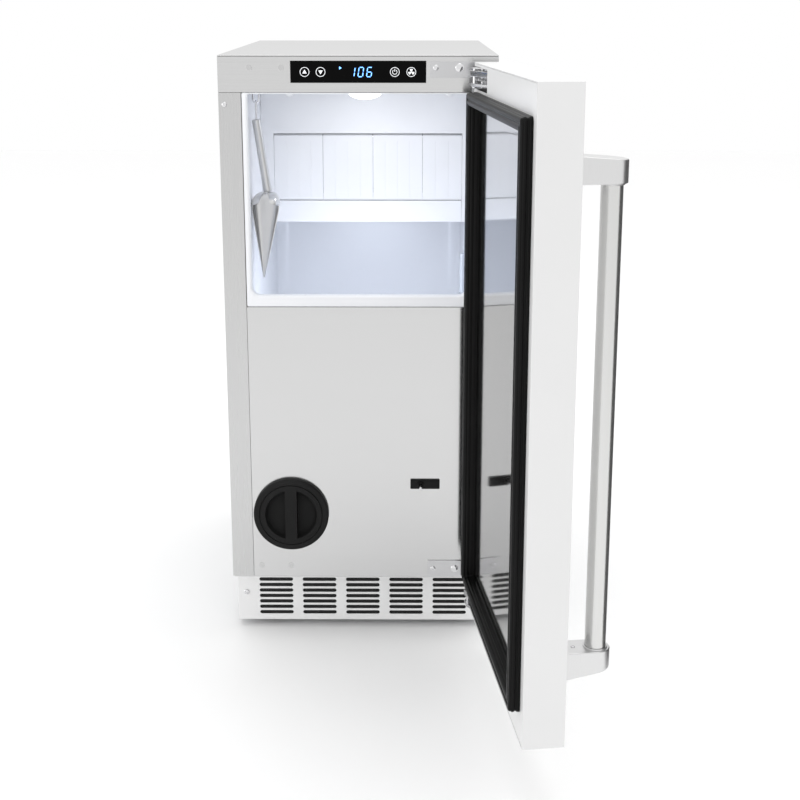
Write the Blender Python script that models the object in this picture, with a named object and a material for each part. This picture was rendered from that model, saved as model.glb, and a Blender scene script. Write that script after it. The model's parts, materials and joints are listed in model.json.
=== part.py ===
"""Built-in 15-inch ice maker with its door swung open, in metres, +Z up.

The cabinet is drawn about its own front: X = 0 is its middle, Y = 0 the plane of its front panels with the
back at +Y, and Z = 0 the floor. The empty `appliance` shifts that frame so that the whole object, with its door
open, stands centred on the origin. Pieces that move hang from an empty on their joint's axis, and every piece is
drawn where it sits with all joints at zero and the door shut; the door's empty then turns it to where it stands.
"""

from math import cos, pi, radians, sin

import bmesh
import bpy
from mathutils import Vector

# Cabinet
WIDTH = 0.378
DEPTH = 0.517
HEIGHT = 0.859
BODY_BOTTOM = 0.104  # underside of the front above the toe kick
KICK_SETBACK = 0.0472
PAN_BOTTOM = 0.012
SHEET = 0.0015
GAP = 0.0003  # between pieces that touch
HALF = WIDTH / 2
POST_INNER = 0.158  # the front posts reach from the sides to here
FASCIA_BOTTOM = HEIGHT - 0.0495
SILL_TOP = HEIGHT - 0.3315
SILL_BOTTOM = HEIGHT - 0.3473
BACK_FITTING = 0.010  # how far the inlet, drain and cord gland stand out behind

# Ice compartment
LINER_HALF = 0.1587
LINER_WALL = 0.002
CEILING = HEIGHT - 0.0530
BIN_FLOOR = 0.330
LINER_BACK = 0.430
RIM_DEPTH = 0.012
RIM_HALF = 0.150
CURTAIN_FRONT = 0.222
FLAP_BARREL = 0.0055
CURTAIN_THICK = 0.0025
CURTAIN_EDGES = (-0.1374, -0.0628, 0.0138, 0.0895, 0.1500)
ROD_Z = HEIGHT - 0.1345
ROD_RADIUS = 0.003
CURTAIN_BOTTOM = HEIGHT - 0.2300
TROUGH_TOP = HEIGHT - 0.2312
TROUGH_BOTTOM = HEIGHT - 0.2644

# Door
DOOR_ANGLE = radians(97.1)
DOOR_GAP = 0.0145  # from the cabinet front to the inner face, when shut
DOOR_THICK = 0.0511
DOOR_TOP = HEIGHT - 0.0073
DOOR_BOTTOM = HEIGHT - 0.7814
HINGE = Vector((0.1800, -0.0386, 0.0))
KNUCKLE_RADIUS = 0.009
PIN_RADIUS = 0.004
POCKET_MARGIN = 0.0105  # pocket wall to the hinge axis
DOOR_INNER = -DOOR_GAP
DOOR_OUTER = -DOOR_GAP - DOOR_THICK
GASKET_OUT = 0.0142
GASKET_WIDTH = 0.0185
GASKET_Z = (HEIGHT - 0.7422, HEIGHT - 0.0448)
LEAF_POCKET = (0.097, -0.0345)  # where the hinge's door leaf lies: its X start and its floor

# Handle
POST_X = (-HALF + 0.028, -HALF + 0.062)
POST_REACH = 0.0624
BAR_RADIUS = 0.0125
BAR_OFFSET = 0.045
GRIP_Z = (HEIGHT - 0.6767, HEIGHT - 0.1205)

# Filter cap and power switch, on the lower panel
CAP_CENTRE = Vector((-0.1013, 0.0, HEIGHT - 0.6562))
CAP_RADIUS = 0.0545
CAP_PROUD = 0.008
SWITCH_CENTRE = Vector((0.0864, -0.0012, HEIGHT - 0.6102))

# Scoop
SCOOP_Y = 0.080
HOOK_Z = HEIGHT - 0.0700

# Condenser fan
FAN_CENTRE = Vector((0.061, 0.130, 0.105))
FAN_RADIUS = 0.068

FINISHES = {
    "stainless": ((0.62, 0.62, 0.61), 0.32, 1.0),
    "polished_steel": ((0.75, 0.75, 0.75), 0.15, 1.0),
    "door_white": ((0.86, 0.86, 0.86), 0.30, 0.0),
    "white_paint": ((0.84, 0.84, 0.84), 0.40, 0.0),
    "white_plastic": ((0.88, 0.90, 0.93), 0.35, 0.0),
    "black_plastic": ((0.03, 0.03, 0.03), 0.50, 0.0),
    "black_rubber": ((0.02, 0.02, 0.02), 0.60, 0.0),
    "black_glass": ((0.01, 0.01, 0.01), 0.05, 0.0),
    "lamp_lens": ((0.95, 0.97, 1.00), 0.20, 0.0),
    "galvanised": ((0.55, 0.56, 0.57), 0.45, 1.0),
    "aluminium": ((0.70, 0.71, 0.72), 0.40, 1.0),
    "copper": ((0.72, 0.42, 0.28), 0.30, 1.0),
    "foam": ((0.80, 0.74, 0.52), 0.90, 0.0),
    "black_enamel": ((0.02, 0.02, 0.02), 0.35, 0.0),
}


def loft(rings, cyclic=False):
    """A closed mesh through rings of equal point counts, capped at both ends unless it runs back on itself."""
    bm = bmesh.new()
    loops = [[bm.verts.new(point) for point in ring] for ring in rings]
    pairs = list(zip(loops, loops[1:]))
    if cyclic:
        pairs.append((loops[-1], loops[0]))
    else:
        bm.faces.new(loops[0])
        bm.faces.new(loops[-1])
    for first, second in pairs:
        for i, corner in enumerate(first):
            j = (i + 1) % len(first)
            bm.faces.new((corner, first[j], second[j], second[i]))
    bmesh.ops.recalc_face_normals(bm, faces=bm.faces)
    mesh = bpy.data.meshes.new("shape")
    bm.to_mesh(mesh)
    bm.free()
    return mesh


def combined(meshes):
    """Several separate shapes as one cutter."""
    bm = bmesh.new()
    for mesh in meshes:
        bm.from_mesh(mesh)
    whole = bpy.data.meshes.new("shapes")
    bm.to_mesh(whole)
    bm.free()
    return whole


def prism(outline, axis, low, high):
    """An outline pushed along X, Y or Z; its points give the other two coordinates in alphabetical order."""
    at = "XYZ".index(axis)

    def ring(level):
        return [list(point[:at]) + [level] + list(point[at:]) for point in outline]

    return loft([ring(low), ring(high)])


def block(x, y, z):
    """A box from its (low, high) pairs."""
    outline = [(x[0], y[0]), (x[1], y[0]), (x[1], y[1]), (x[0], y[1])]
    return prism(outline, "Z", z[0], z[1])


def circle(centre, radius, sides, start=0.0):
    """Points of a circle in a plane; centre is a pair."""
    angles = [start + 2 * pi * i / sides for i in range(sides)]
    return [(centre[0] + radius * cos(a), centre[1] + radius * sin(a)) for a in angles]


def cylinder(axis, centre, radius, low, high, sides=24):
    """A round bar along X, Y or Z; centre gives the other two coordinates."""
    return prism(circle(centre, radius, sides), axis, low, high)


def turned(axis, centre, profile, sides=24):
    """A solid of revolution about X, Y or Z from (level, radius) pairs."""
    at = "XYZ".index(axis)
    rings = []
    for level, radius in profile:
        ring = circle(centre, radius, sides)
        rings.append([list(point[:at]) + [level] + list(point[at:]) for point in ring])
    return loft(rings)


def tube(points, radius, sides=10, cyclic=False):
    """A bar of round section along a path."""
    path = [Vector(point) for point in points]
    rings = []
    side = None
    for i, point in enumerate(path):
        before = path[i - 1] if (i > 0 or cyclic) else point
        after = path[(i + 1) % len(path)] if (i + 1 < len(path) or cyclic) else point
        along = (after - before).normalized()
        if side is None:
            side = along.orthogonal().normalized()
        side = (side - along * side.dot(along)).normalized()
        up = along.cross(side)
        rings.append([point + side * x + up * y for x, y in circle((0, 0), radius, sides)])
    return loft(rings, cyclic)


def slot_outline(centre, length, width, steps=3):
    """A slot with round ends, lying along the first coordinate."""
    reach = (length - width) / 2
    points = []
    for end, start in ((1, -pi / 2), (-1, pi / 2)):
        for i in range(steps + 1):
            angle = start + pi * i / steps
            points.append((centre[0] + end * reach + cos(angle) * width / 2, centre[1] + sin(angle) * width / 2))
    return points


def material(name, finish):
    colour, roughness, metallic = FINISHES[finish]
    made = bpy.data.materials.new(f"{name}_{finish}")
    made.use_nodes = True
    shader = made.node_tree.nodes["Principled BSDF"]
    shader.inputs["Base Color"].default_value = (*colour, 1.0)
    shader.inputs["Roughness"].default_value = roughness
    shader.inputs["Metallic"].default_value = metallic
    made.diffuse_color = (*colour, 1.0)
    return made


def carrier(name, point=(0, 0, 0), parent=None, turn=0.0):
    """An empty that pieces hang from, at a point of the cabinet's frame, turned about +Z."""
    empty = bpy.data.objects.new(name, None)
    bpy.context.scene.collection.objects.link(empty)
    empty["point"] = tuple(point)
    if parent is not None:
        empty.parent = parent
        empty.location = Vector(point) - Vector(parent["point"])
    empty.rotation_euler.z = turn
    return empty


def place(name, mesh, parent):
    """An object drawn in the cabinet's frame, hung from a carrier."""
    made = bpy.data.objects.new(name, mesh)
    bpy.context.scene.collection.objects.link(made)
    made.parent = parent
    made.location = -Vector(parent["point"])
    return made


def piece(name, mesh, finish, parent, add=(), cut=(), bevel=0.0):
    """One sub-part: a mesh, with other shapes joined to it and cut from it."""
    made = place(name, mesh, parent)
    mesh.materials.append(material(name, finish))
    mesh.shade_smooth()
    mesh.set_sharp_from_angle(angle=radians(35))
    for operation, shapes in (("UNION", add), ("DIFFERENCE", cut)):
        for i, shape in enumerate(shapes):
            tool = place(f"{name}_{operation.lower()}_{i}", shape, parent)
            tool.hide_render = True
            tool.display_type = "WIRE"
            step = made.modifiers.new(f"{operation.title()} {i}", "BOOLEAN")
            step.operation = operation
            step.object = tool
            step.solver = "EXACT"
    if bevel:
        edge = made.modifiers.new("Edges", "BEVEL")
        edge.width = bevel
        edge.segments = 1
        edge.limit_method = "ANGLE"
        edge.angle_limit = radians(60)
    return made


def opened_end():
    """How far the open door and its handle reach to the right of the cabinet's middle, and forwards."""
    def swung(x, y):
        dx, dy = x - HINGE.x, y - HINGE.y
        turned_x = HINGE.x + dx * cos(DOOR_ANGLE) - dy * sin(DOOR_ANGLE)
        turned_y = HINGE.y + dx * sin(DOOR_ANGLE) + dy * cos(DOOR_ANGLE)
        return turned_x, turned_y

    middle = (POST_X[0] + POST_X[1]) / 2
    return swung(middle, DOOR_OUTER - POST_REACH)[0], swung(-HALF, DOOR_INNER)[1]


def outer_casing(cabinet):
    side_outline = [
        (SHEET + GAP, BODY_BOTTOM),
        (KICK_SETBACK + SHEET + GAP, BODY_BOTTOM),
        (KICK_SETBACK + SHEET + GAP, PAN_BOTTOM),
        (DEPTH, PAN_BOTTOM),
        (DEPTH, HEIGHT - SHEET - GAP),
        (SHEET + GAP, HEIGHT - SHEET - GAP),
    ]
    piece("left_side_panel", prism(side_outline, "X", -HALF, -HALF + SHEET), "galvanised", cabinet)
    piece("right_side_panel", prism(side_outline, "X", HALF - SHEET, HALF), "galvanised", cabinet)
    inside = HALF - SHEET - GAP
    lip = 0.0070
    top = block((-HALF, HALF), (0.0, DEPTH), (HEIGHT - SHEET, HEIGHT))
    front_lip = block((-inside, inside), (SHEET + GAP, 2 * SHEET + GAP), (HEIGHT - lip, HEIGHT - SHEET / 2))
    piece("top_panel", top, "stainless", cabinet, add=[front_lip])
    slots = []
    for column in (-0.085, 0.085):
        for row in range(6):
            level = 0.400 + 0.024 * row
            slots.append(block((column - 0.055, column + 0.055), (DEPTH - 0.01, DEPTH + 0.01), (level, level + 0.006)))
    fittings = [
        cylinder("Y", (-0.120, 0.060), 0.0140 + GAP, DEPTH - 0.01, DEPTH + 0.01, 20),
        cylinder("Y", (-0.060, 0.045), 0.0110 + GAP, DEPTH - 0.01, DEPTH + 0.01, 20),
        cylinder("Y", (0.140, 0.060), 0.0100 + GAP, DEPTH - 0.01, DEPTH + 0.01, 20),
    ]
    back = block((-inside, inside), (DEPTH - SHEET, DEPTH), (PAN_BOTTOM, HEIGHT - SHEET - GAP))
    piece("back_panel", back, "galvanised", cabinet, cut=[combined(slots + fittings)])
    pan = block((-inside, inside), (KICK_SETBACK + SHEET + GAP, DEPTH - SHEET - GAP), (PAN_BOTTOM, PAN_BOTTOM + SHEET))
    stud_holes = [cylinder("Z", spot, 0.0056, 0.0, 0.05, 16) for spot in foot_spots()]
    piece("base_pan", pan, "galvanised", cabinet, cut=[combined(stud_holes)])


def foot_spots():
    return [(x, y) for y in (0.085, 0.470) for x in (-0.150, 0.150)]


def front_panels(cabinet):
    inside = HALF - SHEET - GAP
    fascia = block((-HALF, HALF), (0.0, SHEET), (FASCIA_BOTTOM, HEIGHT - SHEET - GAP))
    window = block((-0.0908, 0.0917), (-0.01, 0.01), (HEIGHT - 0.0368, HEIGHT - 0.0076))
    tray = block((-inside, inside), (SHEET / 2, 0.016), (FASCIA_BOTTOM, FASCIA_BOTTOM + SHEET))
    piece("control_fascia", fascia, "stainless", cabinet, add=[tray], cut=[window])
    glass = block((-0.0904, 0.0913), (-0.0004, 0.0030), (HEIGHT - 0.0364, HEIGHT - 0.0080))
    piece("control_glass", glass, "black_glass", cabinet)
    for name, sign in (("left_front_post", -1), ("right_front_post", 1)):
        plate = block(sorted((sign * HALF, sign * (POST_INNER + GAP))), (0.0, SHEET), (BODY_BOTTOM, FASCIA_BOTTOM - GAP))
        flange_x = sorted((sign * (inside - SHEET), sign * inside))
        flange = block(flange_x, (SHEET / 2, 0.014), (BODY_BOTTOM, FASCIA_BOTTOM - GAP))
        piece(name, plate, "stainless", cabinet, add=[flange])
    panel = block((-POST_INNER, POST_INNER), (0.0, SHEET), (BODY_BOTTOM, SILL_BOTTOM - GAP))
    cap_hole = cylinder("Y", (CAP_CENTRE.x, CAP_CENTRE.z), CAP_RADIUS - 0.004, -0.01, 0.01, 32)
    lever_hole = cylinder("Y", (SWITCH_CENTRE.x, SWITCH_CENTRE.z), 0.0055, -0.01, 0.01, 16)
    toe = block((-inside, inside), (SHEET / 2, KICK_SETBACK - GAP), (BODY_BOTTOM - SHEET, BODY_BOTTOM))
    piece("lower_front_panel", panel, "stainless", cabinet, add=[toe], cut=[cap_hole, lever_hole])


def kick_grille(cabinet):
    slots = []
    for group in range(-2, 3):
        for row in range(7):
            centre = (0.0655 * group, HEIGHT - 0.7830 - 0.00897 * row)
            slots.append(prism(slot_outline(centre, 0.051, 0.0048), "Y", KICK_SETBACK - 0.01, KICK_SETBACK + 0.01))
    plate = block((-HALF, HALF), (KICK_SETBACK, KICK_SETBACK + SHEET), (0.010, BODY_BOTTOM - SHEET - GAP))
    piece("kick_grille", plate, "white_paint", cabinet, cut=[combined(slots)])


def ice_compartment(cabinet):
    outer = block((-LINER_HALF, LINER_HALF), (RIM_DEPTH, LINER_BACK), (BIN_FLOOR - LINER_WALL, CEILING + LINER_WALL))
    rim = block(
        (-POST_INNER + GAP, POST_INNER - GAP), (GAP, RIM_DEPTH + LINER_WALL), (SILL_BOTTOM, FASCIA_BOTTOM - GAP)
    )
    wall = LINER_HALF - LINER_WALL
    cavity = block((-wall, wall), (RIM_DEPTH + LINER_WALL, LINER_BACK - LINER_WALL), (BIN_FLOOR, CEILING))
    mouth = block((-RIM_HALF, RIM_HALF), (-0.01, RIM_DEPTH + 0.01), (SILL_TOP, CEILING))
    piece("bin_liner", outer, "white_plastic", cabinet, add=[rim], cut=[cavity, mouth])
    foam = block((-0.1870 + GAP, 0.1870 - GAP), (0.018, 0.500), (BIN_FLOOR - 0.028, HEIGHT - 0.0105))
    room = block(
        (-LINER_HALF - GAP, LINER_HALF + GAP),
        (-0.01, LINER_BACK + GAP),
        (BIN_FLOOR - LINER_WALL - GAP, CEILING + LINER_WALL + GAP),
    )
    piece("insulation", foam, "foam", cabinet, cut=[room])
    profile = [(CEILING - GAP, 0.0285), (CEILING - 0.006, 0.0280), (CEILING - 0.011, 0.0215), (CEILING - 0.014, 0.0100)]
    piece("lamp_lens", turned("Z", (0.006, 0.100), profile[::-1], 24), "lamp_lens", cabinet)
    probe = cylinder("Z", (0.1478, 0.200), 0.0030, 0.486, 0.548, 10)
    clip = block((0.1440, LINER_HALF - LINER_WALL - GAP), (0.188, 0.212), (0.478, 0.488))
    piece("bin_thermostat", probe, "white_plastic", cabinet, add=[clip])


def ice_making(cabinet):
    left, right = CURTAIN_EDGES[0], CURTAIN_EDGES[-1]
    cover_outline = [
        (left, CURTAIN_FRONT - 0.0055),
        (right, CURTAIN_FRONT - 0.0055),
        (right, CURTAIN_FRONT - 0.0025),
        (left + 0.003, CURTAIN_FRONT - 0.0025),
        (left + 0.003, 0.400),
        (left, 0.400),
    ]
    cover = prism(cover_outline, "Z", ROD_Z + 0.0065, CEILING - GAP)
    side = LINER_HALF - LINER_WALL - GAP
    front = (CURTAIN_FRONT - 0.0055, CURTAIN_FRONT - 0.0025)
    fascia = block((-side, side), front, (ROD_Z + 0.0065, CEILING - GAP))
    cheeks = [
        block((-side, left - 0.0002), front, (TROUGH_BOTTOM, ROD_Z + 0.01)),
        block((right + 0.0002, side), front, (TROUGH_BOTTOM, ROD_Z + 0.01)),
    ]
    piece("evaporator_cover", cover, "white_plastic", cabinet, add=[fascia] + cheeks)
    plate = block((left + 0.004, right), (0.234, 0.246), (CURTAIN_BOTTOM + 0.008, CEILING - 0.018))
    piece("evaporator_plate", plate, "polished_steel", cabinet)
    spray = cylinder("X", (0.240, CEILING - 0.010), 0.006, left + 0.004, right, 12)
    piece("distributor_tube", spray, "white_plastic", cabinet)
    trough = block((left, right), (CURTAIN_FRONT - 0.005, 0.275), (TROUGH_BOTTOM, TROUGH_TOP))
    basin = block((left + 0.003, right - 0.003), (CURTAIN_FRONT - 0.002, 0.272), (TROUGH_BOTTOM + 0.003, TROUGH_TOP + 0.01))
    piece("water_trough", trough, "white_plastic", cabinet, cut=[basin])
    wall = LINER_HALF - LINER_WALL - GAP
    rod_y = CURTAIN_FRONT + CURTAIN_THICK / 2
    rod = cylinder("X", (rod_y, ROD_Z), ROD_RADIUS, -wall, wall, 12)
    piece("curtain_rod", rod, "polished_steel", cabinet)
    for number, (low, high) in enumerate(zip(CURTAIN_EDGES, CURTAIN_EDGES[1:]), 1):
        hinge = carrier(f"curtain_axis_{number}", ((low + high) / 2, rod_y, ROD_Z), cabinet)
        span = (low + 0.0004, high - 0.0004)
        face = rod_y - FLAP_BARREL
        flap = block(span, (face, face + CURTAIN_THICK), (CURTAIN_BOTTOM, ROD_Z + 0.0028))
        barrel = cylinder("X", (rod_y, ROD_Z), FLAP_BARREL, span[0], span[1], 16)
        bore = cylinder("X", (rod_y, ROD_Z), ROD_RADIUS + GAP, span[0] - 0.01, span[1] + 0.01, 12)
        piece(f"curtain_flap_{number}", flap, "white_plastic", hinge, add=[barrel], cut=[bore])


def scoop_section(along, half_width, depth, thick):
    """One U section of the bowl, open towards the door: outer arc, then the inner arc back."""
    steps = 8
    ring = []
    for inset, order in ((0.0, range(steps + 1)), (thick, range(steps, -1, -1))):
        for i in order:
            angle = pi * i / steps
            x = -cos(angle) * (half_width - inset)
            y = sin(angle) * (depth - inset)
            ring.append((along[0] + x, SCOOP_Y + y - depth * 0.58, along[1]))
    return ring


def scoop(cabinet):
    hook_x = -0.1475
    bend = 0.0045
    arc = [(hook_x - bend * cos(pi * i / 6), SCOOP_Y, HOOK_Z + bend - bend * sin(pi * i / 6)) for i in range(7)]
    ends = [(hook_x - bend, SCOOP_Y, CEILING - GAP), (hook_x + bend, SCOOP_Y, CEILING - GAP)]
    piece("scoop_hanger", tube([ends[0]] + arc + [ends[1]], 0.0012, 8), "polished_steel", cabinet)
    swing = carrier("scoop_axis", (hook_x, SCOOP_Y, HOOK_Z), cabinet)
    grip_top = Vector((-0.1478, SCOOP_Y, HEIGHT - 0.0935))
    grip_end = Vector((-0.1335, SCOOP_Y, HEIGHT - 0.1960))
    link_top, link_low = HOOK_Z + 0.0028, grip_top.z - 0.004
    link = []
    for i in range(12):
        angle = 2 * pi * i / 12
        reach = (link_top - link_low) / 2 - 0.004
        lift = reach if sin(angle) >= 0 else -reach
        link.append((hook_x, SCOOP_Y + 0.004 * cos(angle), (link_top + link_low) / 2 + lift + 0.004 * sin(angle)))
    grip = tube([grip_top, grip_end], 0.0062, 14)
    piece("scoop_handle", grip, "stainless", swing, add=[tube(link, 0.0010, 6, cyclic=True)])
    length = 0.126
    sections = []
    for i in range(9):
        t = i / 8
        half_width = 0.0200 * min(1.0, 0.72 + 2.4 * t) * (1 - max(0.0, t - 0.12) / 0.88 * 0.92)
        depth = half_width * 1.05
        middle = -0.1350 - 0.0067 * t
        sections.append(scoop_section((middle, HEIGHT - 0.1975 - length * t), half_width, depth, 0.0012))
    bowl = loft(sections)
    piece("scoop_bowl", bowl, "stainless", swing, add=[scoop_end_plate()])


def scoop_end_plate():
    """The closed top of the bowl."""
    level = HEIGHT - 0.1975
    half_width = 0.0200 * 0.72
    depth = half_width * 1.05
    outline = [
        (-0.1350 - cos(pi * i / 8) * half_width, SCOOP_Y + sin(pi * i / 8) * depth - depth * 0.58) for i in range(9)
    ]
    return prism(outline, "Z", level - 0.0012, level)


def machinery(cabinet):
    floor = PAN_BOTTOM + SHEET + GAP
    shell = [(floor, 0.060), (floor + 0.020, 0.072), (0.150, 0.072), (0.190, 0.060), (0.212, 0.030)]
    piece("compressor", turned("Z", (0.070, 0.375), shell, 24), "black_enamel", cabinet)
    core = block((-0.015, 0.137), (0.056, 0.096), (floor, 0.190))
    piece("condenser", core, "aluminium", cabinet)
    plate = block((-0.015, 0.137), (0.100, 0.104), (floor, 0.195))
    duct = cylinder("Y", (FAN_CENTRE.x, FAN_CENTRE.z), FAN_RADIUS + 0.008, 0.102, 0.142, 32)
    bore = cylinder("Y", (FAN_CENTRE.x, FAN_CENTRE.z), FAN_RADIUS + 0.005, 0.05, 0.20, 32)
    piece("fan_shroud", plate, "black_plastic", cabinet, add=[duct], cut=[bore])
    motor = cylinder("Y", (FAN_CENTRE.x, FAN_CENTRE.z), 0.026, 0.150, 0.195, 20)
    shaft = cylinder("Y", (FAN_CENTRE.x, FAN_CENTRE.z), 0.0035, 0.121, 0.151, 10)
    stand = block((FAN_CENTRE.x - 0.012, FAN_CENTRE.x + 0.012), (0.160, 0.185), (floor, FAN_CENTRE.z))
    piece("fan_motor", motor, "black_enamel", cabinet, add=[shaft, stand])
    spindle = carrier("fan_axis", FAN_CENTRE, cabinet)
    hub = cylinder("Y", (FAN_CENTRE.x, FAN_CENTRE.z), 0.018, 0.118, 0.138, 16)
    hub_bore = cylinder("Y", (FAN_CENTRE.x, FAN_CENTRE.z), 0.0035 + GAP, 0.1205, 0.20, 10)
    piece("fan_blade", hub, "black_plastic", spindle, add=[fan_vane(i * 2 * pi / 5) for i in range(5)], cut=[hub_bore])
    pump = cylinder("Z", (-0.080, 0.330), 0.028, floor, 0.105, 20)
    outlet = cylinder("Y", (-0.080, 0.090), 0.007, 0.320, 0.372, 12)
    piece("circulation_pump", pump, "black_plastic", cabinet, add=[outlet])
    drier = [(0.200, 0.004), (0.212, 0.012), (0.288, 0.012), (0.300, 0.004)]
    piece("filter_drier", turned("Z", (0.165, 0.330), [(a - 0.16, r) for a, r in drier], 16), "copper", cabinet)
    box = block((-0.170, -0.040), (0.440, DEPTH - SHEET - 2 * GAP), (0.130, 0.280))
    piece("control_box", box, "galvanised", cabinet)
    end = DEPTH + BACK_FITTING
    valve = cylinder("Y", (-0.120, 0.060), 0.0135, 0.450, end, 20)
    coil = block((-0.138, -0.102), (0.440, 0.475), (0.046, 0.112))
    piece("water_inlet_valve", valve, "white_plastic", cabinet, add=[coil])
    drain = cylinder("Y", (-0.060, 0.045), 0.0105, 0.470, end, 20)
    piece("drain_outlet", drain, "black_plastic", cabinet, cut=[cylinder("Y", (-0.060, 0.045), 0.0075, 0.49, end + 0.01, 16)])
    gland = cylinder("Y", (0.140, 0.060), 0.0095, 0.500, end, 20)
    piece("power_inlet", gland, "black_plastic", cabinet)


def fan_vane(angle):
    """One pitched blade of the fan, in a plane through the fan's axis."""
    out = Vector((cos(angle), 0.0, sin(angle)))
    across = Vector((-sin(angle), 0.0, cos(angle)))
    pitch = across + Vector((0.0, 0.35, 0.0))
    rings = []
    for radius, chord in ((0.012, 0.016), (FAN_RADIUS, 0.046)):
        rise = pitch * (chord / 2)
        lift = Vector((0.0, 0.0010, 0.0))
        centre = FAN_CENTRE + out * radius - Vector((0.0, 0.002, 0.0))
        rings.append([centre - rise - lift, centre + rise - lift, centre + rise + lift, centre - rise + lift])
    return loft(rings)


def filter_access(cabinet):
    centre = (CAP_CENTRE.x, CAP_CENTRE.z)
    ring = cylinder("Y", centre, CAP_RADIUS + 0.003, SHEET + GAP, 0.030, 32)
    hollow = cylinder("Y", centre, CAP_RADIUS - 0.004, -0.01, 0.05, 32)
    piece("filter_socket", ring, "black_plastic", cabinet, cut=[hollow])
    twist = carrier("filter_cap_axis", CAP_CENTRE, cabinet)
    face = cylinder("Y", centre, CAP_RADIUS, -CAP_PROUD, -GAP, 40)
    plug = cylinder("Y", centre, CAP_RADIUS - 0.0055, -0.002, 0.026, 32)
    recesses = []
    for sign in (-1, 1):
        arc = [(sign * 0.0376 * cos(a), 0.0376 * sin(a)) for a in [radians(-77 + 154 * i / 10) for i in range(11)]]
        outline = [(CAP_CENTRE.x + x, CAP_CENTRE.z + z) for x, z in arc]
        recesses.append(prism(outline, "Y", -0.02, 0.014))
    piece("filter_cap", face, "black_plastic", twist, add=[plug], cut=recesses)
    body = [(0.0263, 0.020), (0.034, 0.030), (0.190, 0.030), (0.200, 0.020)]
    piece("filter_cartridge", turned("Y", centre, body, 24), "white_plastic", twist)


def power_switch(cabinet):
    x, z = SWITCH_CENTRE.x, SWITCH_CENTRE.z
    plate = block((0.0716, 0.1139), (-0.0023, -GAP), (HEIGHT - 0.6174, HEIGHT - 0.6030))
    piece("switch_plate", plate, "black_plastic", cabinet, cut=[cylinder("Y", (x, z), 0.0044, -0.01, 0.01, 16)])
    pivot = carrier("power_switch_axis", SWITCH_CENTRE, cabinet)
    ball = turned("Y", (x, z), [(SWITCH_CENTRE.y + 0.0032 * sin(a), 0.0032 * cos(a)) for a in
                                [radians(-75 + 30 * i) for i in range(6)]], 12)
    lean = radians(15)
    tip = SWITCH_CENTRE + Vector((0.0, -cos(lean), -sin(lean))) * 0.013
    stick = tube([SWITCH_CENTRE, tip], 0.0016, 8)
    piece("power_switch_lever", ball, "polished_steel", pivot, add=[stick])


def hinges(cabinet, door):
    pin_top = {"upper": DOOR_TOP - 0.0050, "lower": BODY_BOTTOM + 0.0115}
    pin_low = {"upper": GASKET_Z[1] + 0.0030, "lower": DOOR_BOTTOM + 0.0080}
    plate_z = {"upper": (HEIGHT - 0.0299, HEIGHT - 0.0084), "lower": (BODY_BOTTOM, BODY_BOTTOM + 0.0256)}
    pockets = []
    for end in ("upper", "lower"):
        low, high = pin_low[end], pin_top[end]
        plate = block((0.097, HALF), (-0.0020, -GAP), plate_z[end])
        arm_z = (max(low + 0.001, plate_z[end][0]), min(high - 0.001, plate_z[end][1]))
        arm = block((HINGE.x - 0.0055, HINGE.x + 0.0055), (HINGE.y + 0.004, -0.001), arm_z)
        knuckle = cylinder("Z", (HINGE.x, HINGE.y), KNUCKLE_RADIUS, low + 0.001, high - 0.001, 20)
        bore = cylinder("Z", (HINGE.x, HINGE.y), PIN_RADIUS + GAP, low - 0.01, high + 0.01, 16)
        piece(f"{end}_hinge_bracket", plate, "polished_steel", cabinet, add=[arm, knuckle], cut=[bore])
        pocket_x = (HINGE.x - POCKET_MARGIN, HALF + 0.01)
        pocket_y = (HINGE.y - POCKET_MARGIN, 0.0)
        pocket = block(pocket_x, pocket_y, (low, high))
        leaf_x, leaf_y = (LEAF_POCKET[0], pocket_x[0] + 0.001), (LEAF_POCKET[1], 0.0)
        pockets.append((pocket_x, pocket_y, (low, high)))
        pockets.append((leaf_x, leaf_y, (low, high)))
        pin = cylinder("Z", (HINGE.x, HINGE.y), PIN_RADIUS, low - 0.004 + GAP, high + 0.003 - GAP, 16)
        piece(f"{end}_hinge_pin", pin, "polished_steel", door)
        wall = 0.003
        body = block(
            (pocket_x[0] - wall, HALF - SHEET - GAP),
            (pocket_y[0] - wall, DOOR_INNER - SHEET - 2 * GAP),
            (low - 0.006, high + wall),
        )
        tray = block(
            (leaf_x[0] - wall, pocket_x[0]), (leaf_y[0] - wall, DOOR_INNER - SHEET - 2 * GAP), (low - 0.006, high + wall)
        )
        sleeve = cylinder("Z", (HINGE.x, HINGE.y), PIN_RADIUS + GAP, low - 0.004, high + 0.01, 16)
        cuts = [pocket, block(leaf_x, leaf_y, (low, high)), sleeve]
        piece(f"{end}_hinge_block", body, "black_plastic", door, add=[tray], cut=cuts)
    return pockets


def pocket_shapes(pockets):
    """The two hinge pockets as cutters, open through the door's inner face and its hinge end."""
    return [block(x, y, z) for x, y, z in pockets]


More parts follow.
